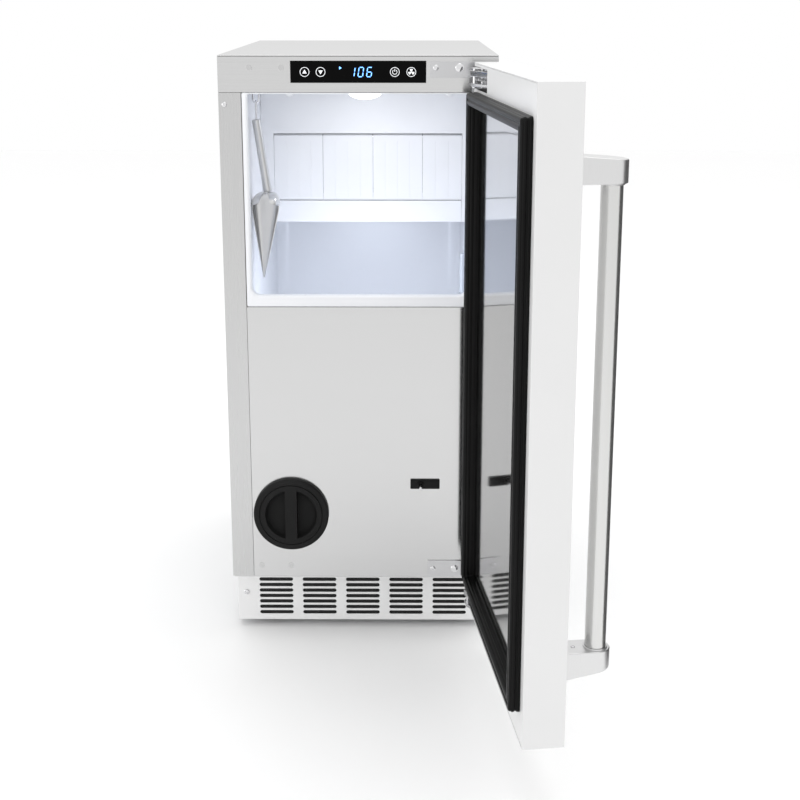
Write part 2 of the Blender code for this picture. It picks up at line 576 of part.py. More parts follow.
def door_leaf(door, pockets):
    inner = DOOR_INNER
    skin = block((-HALF, HALF), (DOOR_OUTER, inner), (DOOR_BOTTOM, DOOR_TOP))
    hollow = block(
        (-HALF + SHEET, HALF - SHEET), (DOOR_OUTER + SHEET, inner + 0.01), (DOOR_BOTTOM + SHEET, DOOR_TOP - SHEET)
    )
    piece("door_skin", skin, "door_white", door, cut=[hollow] + pocket_shapes(pockets))
    edge = SHEET + GAP
    panel = block((-HALF + edge, HALF - edge), (inner - SHEET, inner), (DOOR_BOTTOM + edge, DOOR_TOP - edge))
    piece("door_inner_panel", panel, "door_white", door, cut=pocket_shapes(pockets))
    foam = block(
        (-HALF + edge, HALF - edge),
        (DOOR_OUTER + edge, inner - SHEET - GAP),
        (DOOR_BOTTOM + edge, DOOR_TOP - edge),
    )
    rooms = []
    for x, y, z in pockets:
        rooms.append(block((x[0] - 0.0036, x[1]), (y[0] - 0.0036, 0.0), (z[0] - 0.0064, z[1] + 0.0036)))
    piece("door_foam", foam, "foam", door, cut=rooms)
    reach = HALF - GASKET_OUT
    ring = block((-reach, reach), (inner + GAP, -2 * GAP), GASKET_Z)
    hole = block(
        (-reach + GASKET_WIDTH, reach - GASKET_WIDTH),
        (inner - 0.01, 0.01),
        (GASKET_Z[0] + GASKET_WIDTH, GASKET_Z[1] - GASKET_WIDTH),
    )
    relief = block((LEAF_POCKET[0] - 0.0025, HALF), (-0.0023, 0.01), (GASKET_Z[0] - 0.01, BODY_BOTTOM + 0.0276))
    piece("door_gasket", ring, "black_rubber", door, cut=[hole, relief])


def post_mesh(low, high, low_tip, high_tip):
    """A handle post: flat at the door, round at its end, with one slanted side."""
    middle = (POST_X[0] + POST_X[1]) / 2
    half = (POST_X[1] - POST_X[0]) / 2
    root, tip = DOOR_OUTER - GAP, DOOR_OUTER - POST_REACH
    arc = [(middle + half * cos(pi + pi * i / 10), tip + half * (1 + sin(pi + pi * i / 10))) for i in range(11)]
    outline = [(POST_X[0], root)] + arc + [(POST_X[1], root)]

    def ring(at_root, at_tip):
        share = [(root - y) / (root - tip) for _, y in outline]
        return [(x, y, at_root + (at_tip - at_root) * s) for (x, y), s in zip(outline, share)]

    return loft([ring(low, low_tip), ring(high, high_tip)])


def handle(door):
    middle = (POST_X[0] + POST_X[1]) / 2
    top = post_mesh(GRIP_Z[1], HEIGHT - 0.0889, GRIP_Z[1], HEIGHT - 0.0941)
    piece("upper_handle_post", top, "stainless", door)
    bottom = post_mesh(HEIGHT - 0.7127, GRIP_Z[0], HEIGHT - 0.7011, GRIP_Z[0])
    piece("lower_handle_post", bottom, "stainless", door)
    bar = cylinder("Z", (middle, DOOR_OUTER - BAR_OFFSET), BAR_RADIUS, GRIP_Z[0] + GAP, GRIP_Z[1] - GAP, 24)
    piece("handle_bar", bar, "stainless", door)


def feet(cabinet):
    corners = ("front_left", "front_right", "rear_left", "rear_right")
    for corner, (x, y) in zip(corners, foot_spots()):
        slide = carrier(f"{corner}_foot_axis", (x, y, 0.0), cabinet)
        profile = [(0.0, 0.0170), (0.0060, 0.0170), (0.0085, 0.0120), (0.0088, 0.0050), (0.0420, 0.0050)]
        piece(f"{corner}_levelling_foot", turned("Z", (x, y), profile, 16), "black_plastic", slide)


def main():
    for stale in list(bpy.data.objects):
        bpy.data.objects.remove(stale)
    far_right, far_front = opened_end()
    appliance = carrier("appliance")
    appliance.location = (-(far_right - HALF) / 2, -(far_front + DEPTH + BACK_FITTING) / 2, 0.0)
    cabinet = carrier("cabinet_frame", (0, 0, 0), appliance)
    door = carrier("door_axis", HINGE, cabinet, DOOR_ANGLE)
    outer_casing(cabinet)
    front_panels(cabinet)
    kick_grille(cabinet)
    ice_compartment(cabinet)
    ice_making(cabinet)
    scoop(cabinet)
    machinery(cabinet)
    filter_access(cabinet)
    power_switch(cabinet)
    door_leaf(door, hinges(cabinet, door))
    handle(door)
    feet(cabinet)


main()
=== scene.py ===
"""Looks of the built-in ice maker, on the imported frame.

Places are given as at(x, y, depth): x from the cabinet's middle, y from the plane of its front panels into
the cabinet, and depth below its top, all in metres. Pieces of the door are drawn for the shut door in that
same way, and the DOOR matrix then swings them to where the door stands at rest.
"""

import json
from math import asin, atan2, cos, pi, radians, sin

import bmesh
import bpy
from mathutils import Matrix, Vector


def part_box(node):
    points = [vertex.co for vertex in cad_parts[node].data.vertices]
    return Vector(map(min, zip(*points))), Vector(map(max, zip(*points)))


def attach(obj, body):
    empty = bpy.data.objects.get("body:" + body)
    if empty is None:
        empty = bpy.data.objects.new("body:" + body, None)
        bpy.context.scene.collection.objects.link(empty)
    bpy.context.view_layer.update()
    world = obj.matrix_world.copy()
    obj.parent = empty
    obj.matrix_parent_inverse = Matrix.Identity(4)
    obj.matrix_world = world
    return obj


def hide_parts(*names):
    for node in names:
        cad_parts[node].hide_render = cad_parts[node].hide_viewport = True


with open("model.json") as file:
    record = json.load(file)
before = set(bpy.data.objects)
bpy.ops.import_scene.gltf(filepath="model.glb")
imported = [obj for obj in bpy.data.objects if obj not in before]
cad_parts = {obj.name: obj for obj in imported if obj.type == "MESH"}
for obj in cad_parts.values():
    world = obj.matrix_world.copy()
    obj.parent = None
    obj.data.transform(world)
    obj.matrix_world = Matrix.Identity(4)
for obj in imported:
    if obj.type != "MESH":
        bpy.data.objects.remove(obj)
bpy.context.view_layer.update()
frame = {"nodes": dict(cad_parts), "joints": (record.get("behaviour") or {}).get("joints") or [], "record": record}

TOP_LOW, TOP_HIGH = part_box("top_panel")
MIDDLE_X = (TOP_LOW.x + TOP_HIGH.x) / 2
FRONT_Y = TOP_LOW.y
TOP_Z = TOP_HIGH.z
HALF = (TOP_HIGH.x - TOP_LOW.x) / 2
DEPTH = TOP_HIGH.y - TOP_LOW.y
JOINTS = {joint["name"]: joint for joint in frame["joints"]}
HINGE = JOINTS["door_swing"]
PIVOT = Vector((HINGE["pos_m"][0], HINGE["pos_m"][1], 0.0))
OPENED = Matrix.Rotation(-radians(HINGE["range_deg"][0]), 4, "Z")
DOOR = Matrix.Translation(PIVOT) @ OPENED @ Matrix.Translation(-PIVOT)
CEILING = TOP_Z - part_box("bin_liner")[1].z + 0.002
FORWARD, UP, DOWN = (0, -1, 0), (0, 0, 1), (0, 0, -1)

DOOR_INNER = -0.0145
DOOR_OUTER = -0.0656
DOOR_BOTTOM = 0.7814
GASKET_IN = 0.0142  # from the door's side edges
GASKET_TOP = 0.0448
GASKET_BOTTOM = 0.7422
BAR_X = -0.144
BAR_Y = DOOR_OUTER - 0.045
CAP_X, CAP_DEPTH, CAP_RADIUS = -0.1013, 0.6562, 0.0545
POST_INNER = 0.158  # where the front posts meet the liner's rim
UPPER_HINGE, LOWER_HINGE = 0.0123, 0.7435  # the tops of the door's hinge pockets
RIVET = [(0.0, 0.0056), (0.0006, 0.0056), (0.0012, 0.005), (0.0017, 0.0036), (0.0019, 0.0014)]
MATERIALS = {}


def at(x, y, depth):
    return Vector((MIDDLE_X + x, FRONT_Y + y, TOP_Z - depth))


def extent(node):
    """A CAD node's box as its (low, high) pairs of x, y and depth."""
    low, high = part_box(node)
    x = (low.x - MIDDLE_X, high.x - MIDDLE_X)
    y = (low.y - FRONT_Y, high.y - FRONT_Y)
    return x, y, (TOP_Z - high.z, TOP_Z - low.z)


def base_of(node):
    """The middle of a CAD node's underside, its height and half its width."""
    low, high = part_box(node)
    middle = (low + high) / 2
    return Vector((middle.x, middle.y, low.z)), high.z - low.z, (high.x - low.x) / 2


# Meshes


def finished(bm, smooth=35):
    bmesh.ops.recalc_face_normals(bm, faces=bm.faces)
    mesh = bpy.data.meshes.new("shape")
    bm.to_mesh(mesh)
    bm.free()
    mesh.shade_smooth()
    mesh.set_sharp_from_angle(angle=radians(smooth))
    return mesh


def loft(rings, cyclic=False, smooth=35):
    """A skin through rings of equal point counts, capped unless it runs back on itself."""
    bm = bmesh.new()
    loops = [[bm.verts.new(point) for point in ring] for ring in rings]
    pairs = list(zip(loops, loops[1:]))
    if cyclic:
        pairs.append((loops[-1], loops[0]))
    else:
        bm.faces.new(loops[0])
        bm.faces.new(loops[-1])
    for first, second in pairs:
        for i, corner in enumerate(first):
            j = (i + 1) % len(first)
            bm.faces.new((corner, first[j], second[j], second[i]))
    return finished(bm, smooth)


def prism(outline, low, high):
    """An outline of (x, depth) points pushed along Y between two distances from the front plane."""
    return loft([[at(x, y, depth) for x, depth in outline] for y in (low, high)])


def block(x, y, depth):
    """A box from its (low, high) pairs."""
    outline = [(x[0], depth[0]), (x[1], depth[0]), (x[1], depth[1]), (x[0], depth[1])]
    return prism(outline, y[0], y[1])


def circle(radius, sides):
    angles = [2 * pi * i / sides for i in range(sides)]
    return [(radius * cos(a), radius * sin(a)) for a in angles]


def lathe(centre, axis, profile, sides=64):
    """A turned solid: (distance along the axis, radius) pairs from a centre point."""
    along = Vector(axis).normalized()
    side = along.orthogonal().normalized()
    up = along.cross(side)
    rings = []
    for level, radius in profile:
        rings.append([centre + along * level + side * x + up * y for x, y in circle(radius, sides)])
    return loft(rings)


def hoop(centre, axis, profile, sides):
    """A ring turned about a world axis, 0 to 2: (distance along it, radius) pairs that close on the first."""
    rings = []
    for level, radius in profile:
        ring = []
        for u, v in circle(radius, sides):
            offset = [u, v]
            offset.insert(axis, level)
            ring.append(centre + Vector(offset))
        rings.append(ring)
    return loft(rings, cyclic=True)


def tube(points, radius, sides=16, cyclic=False, radii=None):
    """A round bar along a path; radii gives each point its own share of the radius."""
    path = [Vector(point) for point in points]
    rings, side = [], None
    for i, point in enumerate(path):
        before = path[i - 1] if (i > 0 or cyclic) else point
        after = path[(i + 1) % len(path)] if (i + 1 < len(path) or cyclic) else point
        along = (after - before).normalized()
        side = side or along.orthogonal().normalized()
        side = (side - along * side.dot(along)).normalized()
        up = along.cross(side)
        size = radius * (radii[i] if radii else 1.0)
        rings.append([point + side * x + up * y for x, y in circle(size, sides)])
    return loft(rings, cyclic)


def round_rect(x, depth, radius, steps=6):
    """(x, depth) points of a round rectangle; radius is one number, or four from the top right on."""
    radii = radius if isinstance(radius, (list, tuple)) else [radius] * 4
    corners = (
        (x[1], depth[0], 1, -1),
        (x[0], depth[0], -1, -1),
        (x[0], depth[1], -1, 1),
        (x[1], depth[1], 1, 1),
    )
    points = []
    for (cx, cd, sx, sd), r, start in zip(corners, radii, (0, pi / 2, pi, 3 * pi / 2)):
        for i in range(steps + 1):
            angle = start + pi / 2 * i / steps
            points.append((cx - sx * r + r * cos(angle), cd - sd * r - r * sin(angle)))
    return points


def slot(centre, length, width):
    """(x, depth) points of a slot with round ends."""
    reach, radius, steps = (length - width) / 2, width / 2, 8
    points = []
    for end, start in ((1, -pi / 2), (-1, pi / 2)):
        for i in range(steps + 1):
            angle = start + pi * i / steps
            points.append((centre[0] + end * reach + cos(angle) * radius, centre[1] + sin(angle) * radius))
    return points


def quarter(steps):
    """The angles of a quarter turn in equal steps, both ends included."""
    return [pi / 2 * i / steps for i in range(steps + 1)]


def shown(name, data):
    """A new object in the scene."""
    made = bpy.data.objects.new(name, data)
    bpy.context.scene.collection.objects.link(made)
    return made


def combined(meshes):
    bm = bmesh.new()
    for mesh in meshes:
        bm.from_mesh(mesh)
    return finished(bm)


def modified(mesh, steps, smooth=35):
    """The mesh after modifiers: (type, settings) pairs; a BOOLEAN's object is given as a mesh."""
    holder = shown("holder", mesh)
    tools = []
    for kind, settings in steps:
        step = holder.modifiers.new(kind, kind)
        for key, value in settings.items():
            if key == "object":
                value = shown("tool", value)
                tools.append(value)
            setattr(step, key, value)
    bpy.context.view_layer.update()
    made = bpy.data.meshes.new_from_object(holder.evaluated_get(bpy.context.evaluated_depsgraph_get()))
    for stale in [holder] + tools:
        bpy.data.objects.remove(stale)
    made.shade_smooth()
    made.set_sharp_from_angle(angle=radians(smooth))
    return made


def cut(mesh, cutters, edge=0.0, segments=3):
    """The mesh less the cutters, with its sharp edges rounded."""
    steps = [("BOOLEAN", {"operation": "DIFFERENCE", "solver": "EXACT", "object": combined(cutters)})]
    if edge:
        steps.append(rounding(edge, segments))
    return modified(mesh, steps)


def rounding(width, segments=3, angle=40):
    """A bevel of the edges sharper than an angle, as a step for modified()."""
    settings = {"width": width, "segments": segments, "harden_normals": False}
    settings.update(limit_method="ANGLE", angle_limit=radians(angle))
    return "BEVEL", settings


def soft_edges(mesh, width, segments=3):
    return modified(mesh, [rounding(width, segments)])


# Materials


def principled(name, colour, roughness, metallic=0.0, **sockets):
    made = bpy.data.materials.new(name)
    made.use_nodes = True
    shader = made.node_tree.nodes["Principled BSDF"]
    shader.inputs["Base Color"].default_value = (*colour, 1.0)
    shader.inputs["Roughness"].default_value = roughness
    shader.inputs["Metallic"].default_value = metallic
    for key, value in sockets.items():
        shader.inputs[key.replace("_", " ")].default_value = value
    MATERIALS[name] = made
    return made


def noise(material, scale, stretch=(1, 1, 1), detail=4.0):
    """A noise texture in the piece's own metres, squeezed along some axes."""
    nodes, links = material.node_tree.nodes, material.node_tree.links
    place = nodes.new("ShaderNodeTexCoord")
    mapping = nodes.new("ShaderNodeMapping")
    mapping.inputs["Scale"].default_value = stretch
    texture = nodes.new("ShaderNodeTexNoise")
    texture.inputs["Scale"].default_value = scale
    texture.inputs["Detail"].default_value = detail
    links.new(place.outputs["Object"], mapping.inputs["Vector"])
    links.new(mapping.outputs["Vector"], texture.inputs["Vector"])
    return texture.outputs["Fac"]


def spread(material, value, low, high):
    """Brings a 0 to 1 value between two numbers."""
    node = material.node_tree.nodes.new("ShaderNodeMapRange")
    for key, number in (("From Min", 0.3), ("From Max", 0.7), ("To Min", low), ("To Max", high)):
        node.inputs[key].default_value = number
    material.node_tree.links.new(value, node.inputs["Value"])
    return node.outputs["Result"]


def tint(material, value, dark, light):
    """The base colour runs from dark to light with a 0 to 1 value."""
    nodes, links = material.node_tree.nodes, material.node_tree.links
    ramp = nodes.new("ShaderNodeValToRGB")
    for element, position, colour in zip(ramp.color_ramp.elements, (0.3, 0.7), (dark, light)):
        element.position = position
        element.color = (*colour, 1.0)
    links.new(value, ramp.inputs["Fac"])
    links.new(ramp.outputs["Color"], nodes["Principled BSDF"].inputs["Base Color"])


def rough(material, value, low, high):
    shader = material.node_tree.nodes["Principled BSDF"]
    material.node_tree.links.new(spread(material, value, low, high), shader.inputs["Roughness"])


def bump(material, value, distance, strength=1.0):
    nodes, links = material.node_tree.nodes, material.node_tree.links
    node = nodes.new("ShaderNodeBump")
    node.inputs["Distance"].default_value = distance
    node.inputs["Strength"].default_value = strength
    links.new(value, node.inputs["Height"])
    links.new(node.outputs["Normal"], nodes["Principled BSDF"].inputs["Normal"])


def brushed(name, colour, roughness, grain, lines=900.0, depth=0.00002, **sockets):
    """Steel with fine brush lines: grain is the squeeze of the noise, long along the lines."""
    made = principled(name, colour, roughness, 1.0, **sockets)
    streaks = noise(made, lines, grain, 3.0)
    tint(made, streaks, [c * 0.985 for c in colour], [min(1.0, c * 1.015) for c in colour])
    rough(made, streaks, roughness * 0.92, roughness * 1.09)
    bump(made, streaks, depth, 0.3)
    return made


def moulded(name, colour, roughness, texture=1400.0, depth=0.00002, drift=0.04, **sockets):
    """Plastic, paint or rubber with a fine skin and a slow drift of colour."""
    made = principled(name, colour, roughness, 0.0, **sockets)
    cloud = noise(made, 9.0, detail=3.0)
    tint(made, cloud, [c * (1 - drift) for c in colour], [min(1.0, c * (1 + drift)) for c in colour])
    skin = noise(made, texture, detail=2.0)
    rough(made, skin, roughness * 0.9, roughness * 1.12)
    bump(made, skin, depth, 0.4)
    return made


def glowing(name, colour, strength):
    made = principled(name, colour, 0.35)
    shader = made.node_tree.nodes["Principled BSDF"]
    shader.inputs["Emission Color"].default_value = (*colour, 1.0)
    shader.inputs["Emission Strength"].default_value = strength
    grain = noise(made, 500.0, detail=1.0)
    rough(made, grain, 0.3, 0.42)
    return made


def make_materials():
    across, upright = (0.01, 0.01, 1.0), (1.0, 1.0, 0.01)
    streak = {"Anisotropic": 0.9, "Anisotropic_Rotation": 0.25}
    brushed("panel_steel", (0.625,) * 3, 0.17, across, 900.0, 0.000002, **streak)
    brushed("post_steel", (0.575,) * 3, 0.26, upright, 900.0, 0.000003)
    brushed("top_steel", (0.6,) * 3, 0.4, (0.01, 1.0, 1.0), 900.0, 0.000004)
    brushed("handle_steel", (0.68, 0.68, 0.67), 0.22, upright, 1400.0, 0.000006)
    brushed("post_cast_steel", (0.7,) * 3, 0.3, (1.0, 1.0, 0.05), 1200.0)
    brushed("link_steel", (0.6, 0.6, 0.61), 0.22, (1.0, 1.0, 1.0), 400.0)
    brushed("scoop_steel", (0.68,) * 3, 0.34, upright, 1200.0, 0.00001)
    brushed("polished_steel", (0.74, 0.74, 0.75), 0.1, upright, 1000.0, 0.000006)
    brushed("mirror_steel", (0.5,) * 3, 0.07, upright, 700.0, 0.000004)
    zinc = brushed("zinc_steel", (0.58, 0.59, 0.6), 0.42, (1.0, 1.0, 1.0), 110.0, 0.00001)
    tint(zinc, noise(zinc, 95.0, detail=5.0), (0.545, 0.555, 0.57), (0.6, 0.61, 0.62))
    varnish = {"Coat_Weight": 0.12, "Coat_Roughness": 0.25}
    moulded("door_white", (0.77,) * 3, 0.34, 900.0, 0.00002, 0.008, **varnish)
    moulded("white_enamel", (0.86,) * 3, 0.38, 900.0, 0.00002, 0.012)
    moulded("liner_plastic", (0.905, 0.917, 0.945), 0.3, 900.0, 0.00001, 0.01)
    moulded("curtain_plastic", (0.855, 0.862, 0.88), 0.24, 700.0, 0.00002, 0.015)
    moulded("fitting_plastic", (0.6, 0.63, 0.68), 0.38, 1200.0)
    moulded("black_plastic", (0.01,) * 3, 0.5, 1600.0, 0.00008, 0.25, Specular_IOR_Level=0.14)
    # painted shade: near-black for the shadowed space behind the kick grille's slots
    moulded("painted_shade_black", (0.006,) * 3, 0.75, 800.0, 0.00002, 0.2)
    moulded("black_enamel", (0.018, 0.018, 0.019), 0.3, 600.0, 0.00003, 0.2, Coat_Weight=0.4)
    moulded("gasket_rubber", (0.004,) * 3, 0.36, 1300.0, 0.00003, 0.25, Specular_IOR_Level=0.11)
    moulded("rigid_foam", (0.8, 0.74, 0.52), 0.9, 260.0, 0.0006, 0.1)
    moulded("grey_mark", (0.42, 0.42, 0.43), 0.5, 900.0)
    aluminium = brushed("fin_aluminium", (0.72, 0.73, 0.74), 0.35, across, 500.0)
    rough(aluminium, noise(aluminium, 80.0), 0.28, 0.45)
    copper = brushed("copper", (0.76, 0.42, 0.28), 0.28, (1, 1, 1), 90.0)
    tint(copper, noise(copper, 30.0, detail=6.0), (0.62, 0.33, 0.22), (0.8, 0.47, 0.32))
    glass = principled("control_glass", (0.002,) * 3, 0.08, 0.0, Specular_IOR_Level=0.05)
    rough(glass, noise(glass, 30.0, detail=6.0), 0.04, 0.09)
    glowing("segment_blue", (0.16, 0.42, 1.0), 2.6)
    glowing("icon_white", (0.86, 0.88, 0.9), 0.55)
    glowing("lamp_glow", (0.93, 0.96, 1.0), 3.2)


# Pieces


def even_normals(made):
    """Flat faces stay flat in the shading, beside rounded edges too."""
    step = made.modifiers.new("Normals", "WEIGHTED_NORMAL")
    step.keep_sharp = True
    step.weight = 100


def add(name, mesh, material, body, matrix=None, replaces=()):
    """A visible piece that rides on a body."""
    mesh.materials.clear()
    mesh.materials.append(MATERIALS[material])
    made = shown(name, mesh)
    if matrix is not None:
        made.matrix_world = matrix
    even_normals(made)
    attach(made, body)
    if replaces:
        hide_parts(*replaces)


def dress(node, material, edge=0.0, segments=2):
    """A CAD node keeps its shape, with a better material and softened edges."""
    made = frame["nodes"][node]
    made.data.materials.clear()
    made.data.materials.append(MATERIALS[material])
    if edge:
        weld = made.modifiers.new("Weld", "WELD")
        weld.merge_threshold = 0.00001
        kind, settings = rounding(edge, segments)
        step = made.modifiers.new("Edges", kind)
        for key, value in settings.items():
            setattr(step, key, value)
    smooth = made.modifiers.new("Smooth", "EDGE_SPLIT")
    smooth.split_angle = radians(35)
    for polygon in made.data.polygons:
        polygon.use_smooth = True
    even_normals(made)


def screw_mesh(radius, height):
    """A pan head with a cross recess, its seat at the origin and its top towards -Y."""
    steps = 8
    profile = [(0.0, radius * 0.97), (height * 0.25, radius)]
    for i in range(1, steps):
        a = pi / 2 * i / steps
        profile.append((height * (0.25 + 0.75 * sin(a)), radius * cos(a) * 0.999 + 0.00001))
    head = lathe(Vector(), FORWARD, profile, 32)
    arms = []
    for angle in (pi / 4, 3 * pi / 4):
        long, wide = radius * 0.62, radius * 0.14
        ends = [(-long, -wide), (long, -wide), (long, wide), (-long, wide)]
        turned = [(x * cos(angle) - z * sin(angle), x * sin(angle) + z * cos(angle)) for x, z in ends]
        arms.append(loft([[Vector((x, y, z)) for x, z in turned] for y in (-height * 0.35, -height * 2)]))
    head = cut(head, [arms[0]])
    return cut(head, [arms[1]], radius * 0.03, 2)


def facing(place, direction):
    """A matrix that puts a piece drawn towards -Y at a place, looking along a direction."""
    turn = Vector(FORWARD).rotation_difference(Vector(direction))
    return Matrix.Translation(place) @ turn.to_matrix().to_4x4()


def screws(stem, mesh, places, direction, body, material="polished_steel", base=None):
    for number, place in enumerate(places, 1):
        matrix = (base or Matrix.Identity(4)) @ facing(place, direction)
        add(f"{stem}_{number}", mesh.copy(), material, body, matrix)


def casing():
    dress("top_panel", "top_steel", 0.0006, 3)
    for node in ("left_side_panel", "right_side_panel"):
        dress(node, "zinc_steel", 0.0003)
    for node in ("back_panel", "base_pan"):
        dress(node, "zinc_steel", 0.0002)
    for node in ("control_fascia", "lower_front_panel"):
        dress(node, "panel_steel", 0.0004)
    for node in ("left_front_post", "right_front_post"):
        dress(node, "post_steel", 0.0004)
    pan = screw_mesh(0.0036, 0.0022)
    for side, x in (("left", -0.1809), ("right", 0.1809)):
        screws(f"{side}_post_screw", pan, [at(x, 0.0, 0.0657)], FORWARD, "cabinet")
    profile = [(0.0, 0.0042), (0.0002, 0.0042), (0.0004, 0.0038), (0.0005, 0.0026)]
    plug = lathe(Vector(), FORWARD, profile, 32)
    spots = [at(x, 0.0, depth) for depth in (0.017, 0.738) for x in (-0.1463, -0.1033)]
    screws("hinge_hole_plug", plug, spots, FORWARD, "cabinet", "post_steel")
    small = screw_mesh(0.004, 0.0024)
    edge_x = HALF - 0.0125
    rows = (0.03, 0.215, 0.4, 0.585, 0.825)
    backs = [at(x, DEPTH, depth) for x in (-edge_x, edge_x) for depth in rows]
    screws("back_screw", small, backs, (0, 1, 0), "cabinet", "zinc_steel")
    for side, x in (("left", -1), ("right", 1)):
        places = [at(x * HALF, y, depth) for y in (0.03, DEPTH - 0.03) for depth in (0.03, 0.72)]
        screws(f"{side}_side_screw", small, places, (x, 0, 0), "cabinet", "zinc_steel")


SEGMENTS = {  # of a seven-bar digit: (x, up) middles in bar lengths, and whether the bar lies flat
    "a": (0.0, 1.0, True), "b": (0.5, 0.5, False), "c": (0.5, -0.5, False), "d": (0.0, -1.0, True),
    "e": (-0.5, -0.5, False), "f": (-0.5, 0.5, False), "g": (0.0, 0.0, True),
}
DIGITS = {"1": "bc", "0": "abcdef", "6": "acdefg"}


MARK_FRONT, MARK_BACK = -0.00008, 0.00005  # the faces of a printed mark, from the glass


def printed(outline, face):
    """A mark on the glass, as thin as print."""
    return prism(outline, face + MARK_FRONT, face + MARK_BACK)


def seven_bar(digit, centre_x, centre_depth):
    """The outlines of a digit's lit bars."""
    bar, wide, slant = 0.0062, 0.0011, 0.14
    half, thin = bar / 2 - 0.0005, wide / 2
    side = half - thin
    outlines = []
    for name in DIGITS[digit]:
        x, up, flat = SEGMENTS[name]
        tips = [(-half, 0), (-side, thin), (side, thin), (half, 0), (side, -thin), (-side, -thin)]
        if not flat:
            tips = [(v, u) for u, v in tips]
        outline = []
        for u, v in tips:
            level = up * bar + v
            outline.append((centre_x + x * bar + u + level * slant, centre_depth - level))
        outlines.append(outline)
    return outlines


def display():
    x, y, depth = extent("control_glass")
    glass = soft_edges(block(x, y, depth), 0.0003)
    add("control_window", glass, "control_glass", "cabinet", replaces=["control_glass"])
    face = y[0]
    lit = []
    for number, digit in enumerate("106"):
        lit += seven_bar(digit, -0.0075 + 0.0115 * number, 0.0224)
    lit.append([(-0.025, 0.015), (-0.0218, 0.017), (-0.025, 0.019)])
    digits = combined([printed(outline, face) for outline in lit])
    add("display_digits", digits, "segment_blue", "cabinet")
    marks = {"up": -0.0716, "down": -0.0501, "power": 0.0496, "fan": 0.0718}
    for name, middle in marks.items():
        mark = touch_mark(name, middle, 0.0223, face)
        add(f"touch_mark_{name}", mark, "icon_white", "cabinet")


def ring_mark(x, depth, radius, wide, face):
    """A printed ring."""
    front, back, inner = face + MARK_FRONT, face + MARK_BACK, radius - wide
    return hoop(at(x, 0.0, depth), 1, [(front, radius), (front, inner), (back, inner), (back, radius)], 40)


def arc_mark(x, depth, radius, wide, face, start, sweep):
    """A printed arc."""
    sides, inner = 24, radius - wide
    angles = [start + sweep * i / sides for i in range(sides + 1)]
    outline = [(x + radius * cos(a), depth - radius * sin(a)) for a in angles]
    outline += [(x + inner * cos(a), depth - inner * sin(a)) for a in reversed(angles)]
    return printed(outline, face)


def touch_mark(name, x, depth, face):
    """A ring round an arrow, a power sign or three fan blades."""
    shapes = [ring_mark(x, depth, 0.0064, 0.0007, face)]
    if name in ("up", "down"):
        sign = -1 if name == "up" else 1
        base = depth - sign * 0.002
        shapes.append(printed([(x - 0.003, base), (x + 0.003, base), (x, depth + sign * 0.0032)], face))
    elif name == "power":
        shapes.append(arc_mark(x, depth, 0.0034, 0.0007, face, radians(125), radians(290)))
        left, right, top, bottom = x - 0.0004, x + 0.0004, depth - 0.0042, depth - 0.0005
        shapes.append(printed([(left, top), (right, top), (right, bottom), (left, bottom)], face))
    else:
        hub, tip = 0.0008, 0.0042
        for third in range(3):
            turn = radians(90 + 120 * third)
            points = [(hub, turn - 1.0)]
            points += [(tip, turn + radians(a)) for a in range(-30, 31, 12)]
            points.append((hub, turn + 1.0))
            shapes.append(printed([(x + r * cos(a), depth - r * sin(a)) for r, a in points], face))
    return combined(shapes)


def compartment():
    liner_shell()
    lamp()
    profile = [(0.0, 0.0052), (0.003, 0.005), (0.0044, 0.0036), (0.005, 0.0012)]
    for side, x in (("left", -0.0947), ("right", 0.124)):
        stud = lathe(at(x, 0.026, CEILING), DOWN, profile, 32)
        add(f"ceiling_stud_{side}", stud, "liner_plastic", "cabinet")
    dress("insulation", "rigid_foam")
    thermostat()


def liner_shell():
    """The bin's liner: its outside, its rim on the front, the lip, and the inside down to the back."""
    low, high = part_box("bin_liner")
    wall = high.x - MIDDLE_X - 0.002
    floor = TOP_Z - low.z - 0.002
    back = high.y - FRONT_Y
    lip_x, lip_low = 0.15, 0.3315
    rim, rim_top, rim_bottom = POST_INNER - 0.0003, 0.0498, 0.3472
    corner = [0.004, 0.004, 0.012, 0.012]

    def ring(x, y, top, bottom, radius):
        return [at(u, y, d) for u, d in round_rect((-x, x), (top, bottom), radius, 8)]

    rings = [
        ring(wall + 0.002 - inset, y, CEILING - 0.002 + inset, floor + 0.002 - inset, 0.013)
        for y, inset in ((back, 0.004), (back - 0.004, 0.0), (0.015, 0.0))
    ]
    rings.append(ring(rim - 0.001, 0.012, 0.05, 0.347, 0.002))
    rings.append(ring(rim, 0.004, rim_top, rim_bottom, 0.002))
    rings.append(ring(rim, 0.0012, rim_top, rim_bottom, 0.002))
    rings.append(ring(rim - 0.0008, 0.0003, rim_top + 0.0008, rim_bottom - 0.0008, 0.002))
    for a in quarter(6):
        inset, y = 0.003 * (1 - sin(a)), 0.0003 + 0.003 * (1 - cos(a))
        rings.append(ring(lip_x + inset, y, CEILING - inset * 0.2, lip_low + inset, corner))
    rings.append(ring(lip_x, 0.012, CEILING, lip_low, corner))
    rings.append(ring(lip_x + 0.0008, 0.0134, CEILING, lip_low + 0.0008, corner))
    rings.append(ring(wall - 0.002, 0.0146, CEILING, floor - 0.004, 0.012))
    rings.append(ring(wall, 0.0175, CEILING, floor, 0.012))
    for a in quarter(6):
        inset, y = 0.022 * (1 - cos(a)), back - 0.026 + 0.022 * sin(a)
        rings.append(ring(wall - inset, y, CEILING + inset, floor - inset, 0.014 + 0.2 * inset))
    shell = loft(rings, smooth=50)
    add("bin_liner_shell", shell, "liner_plastic", "cabinet", replaces=["bin_liner"])


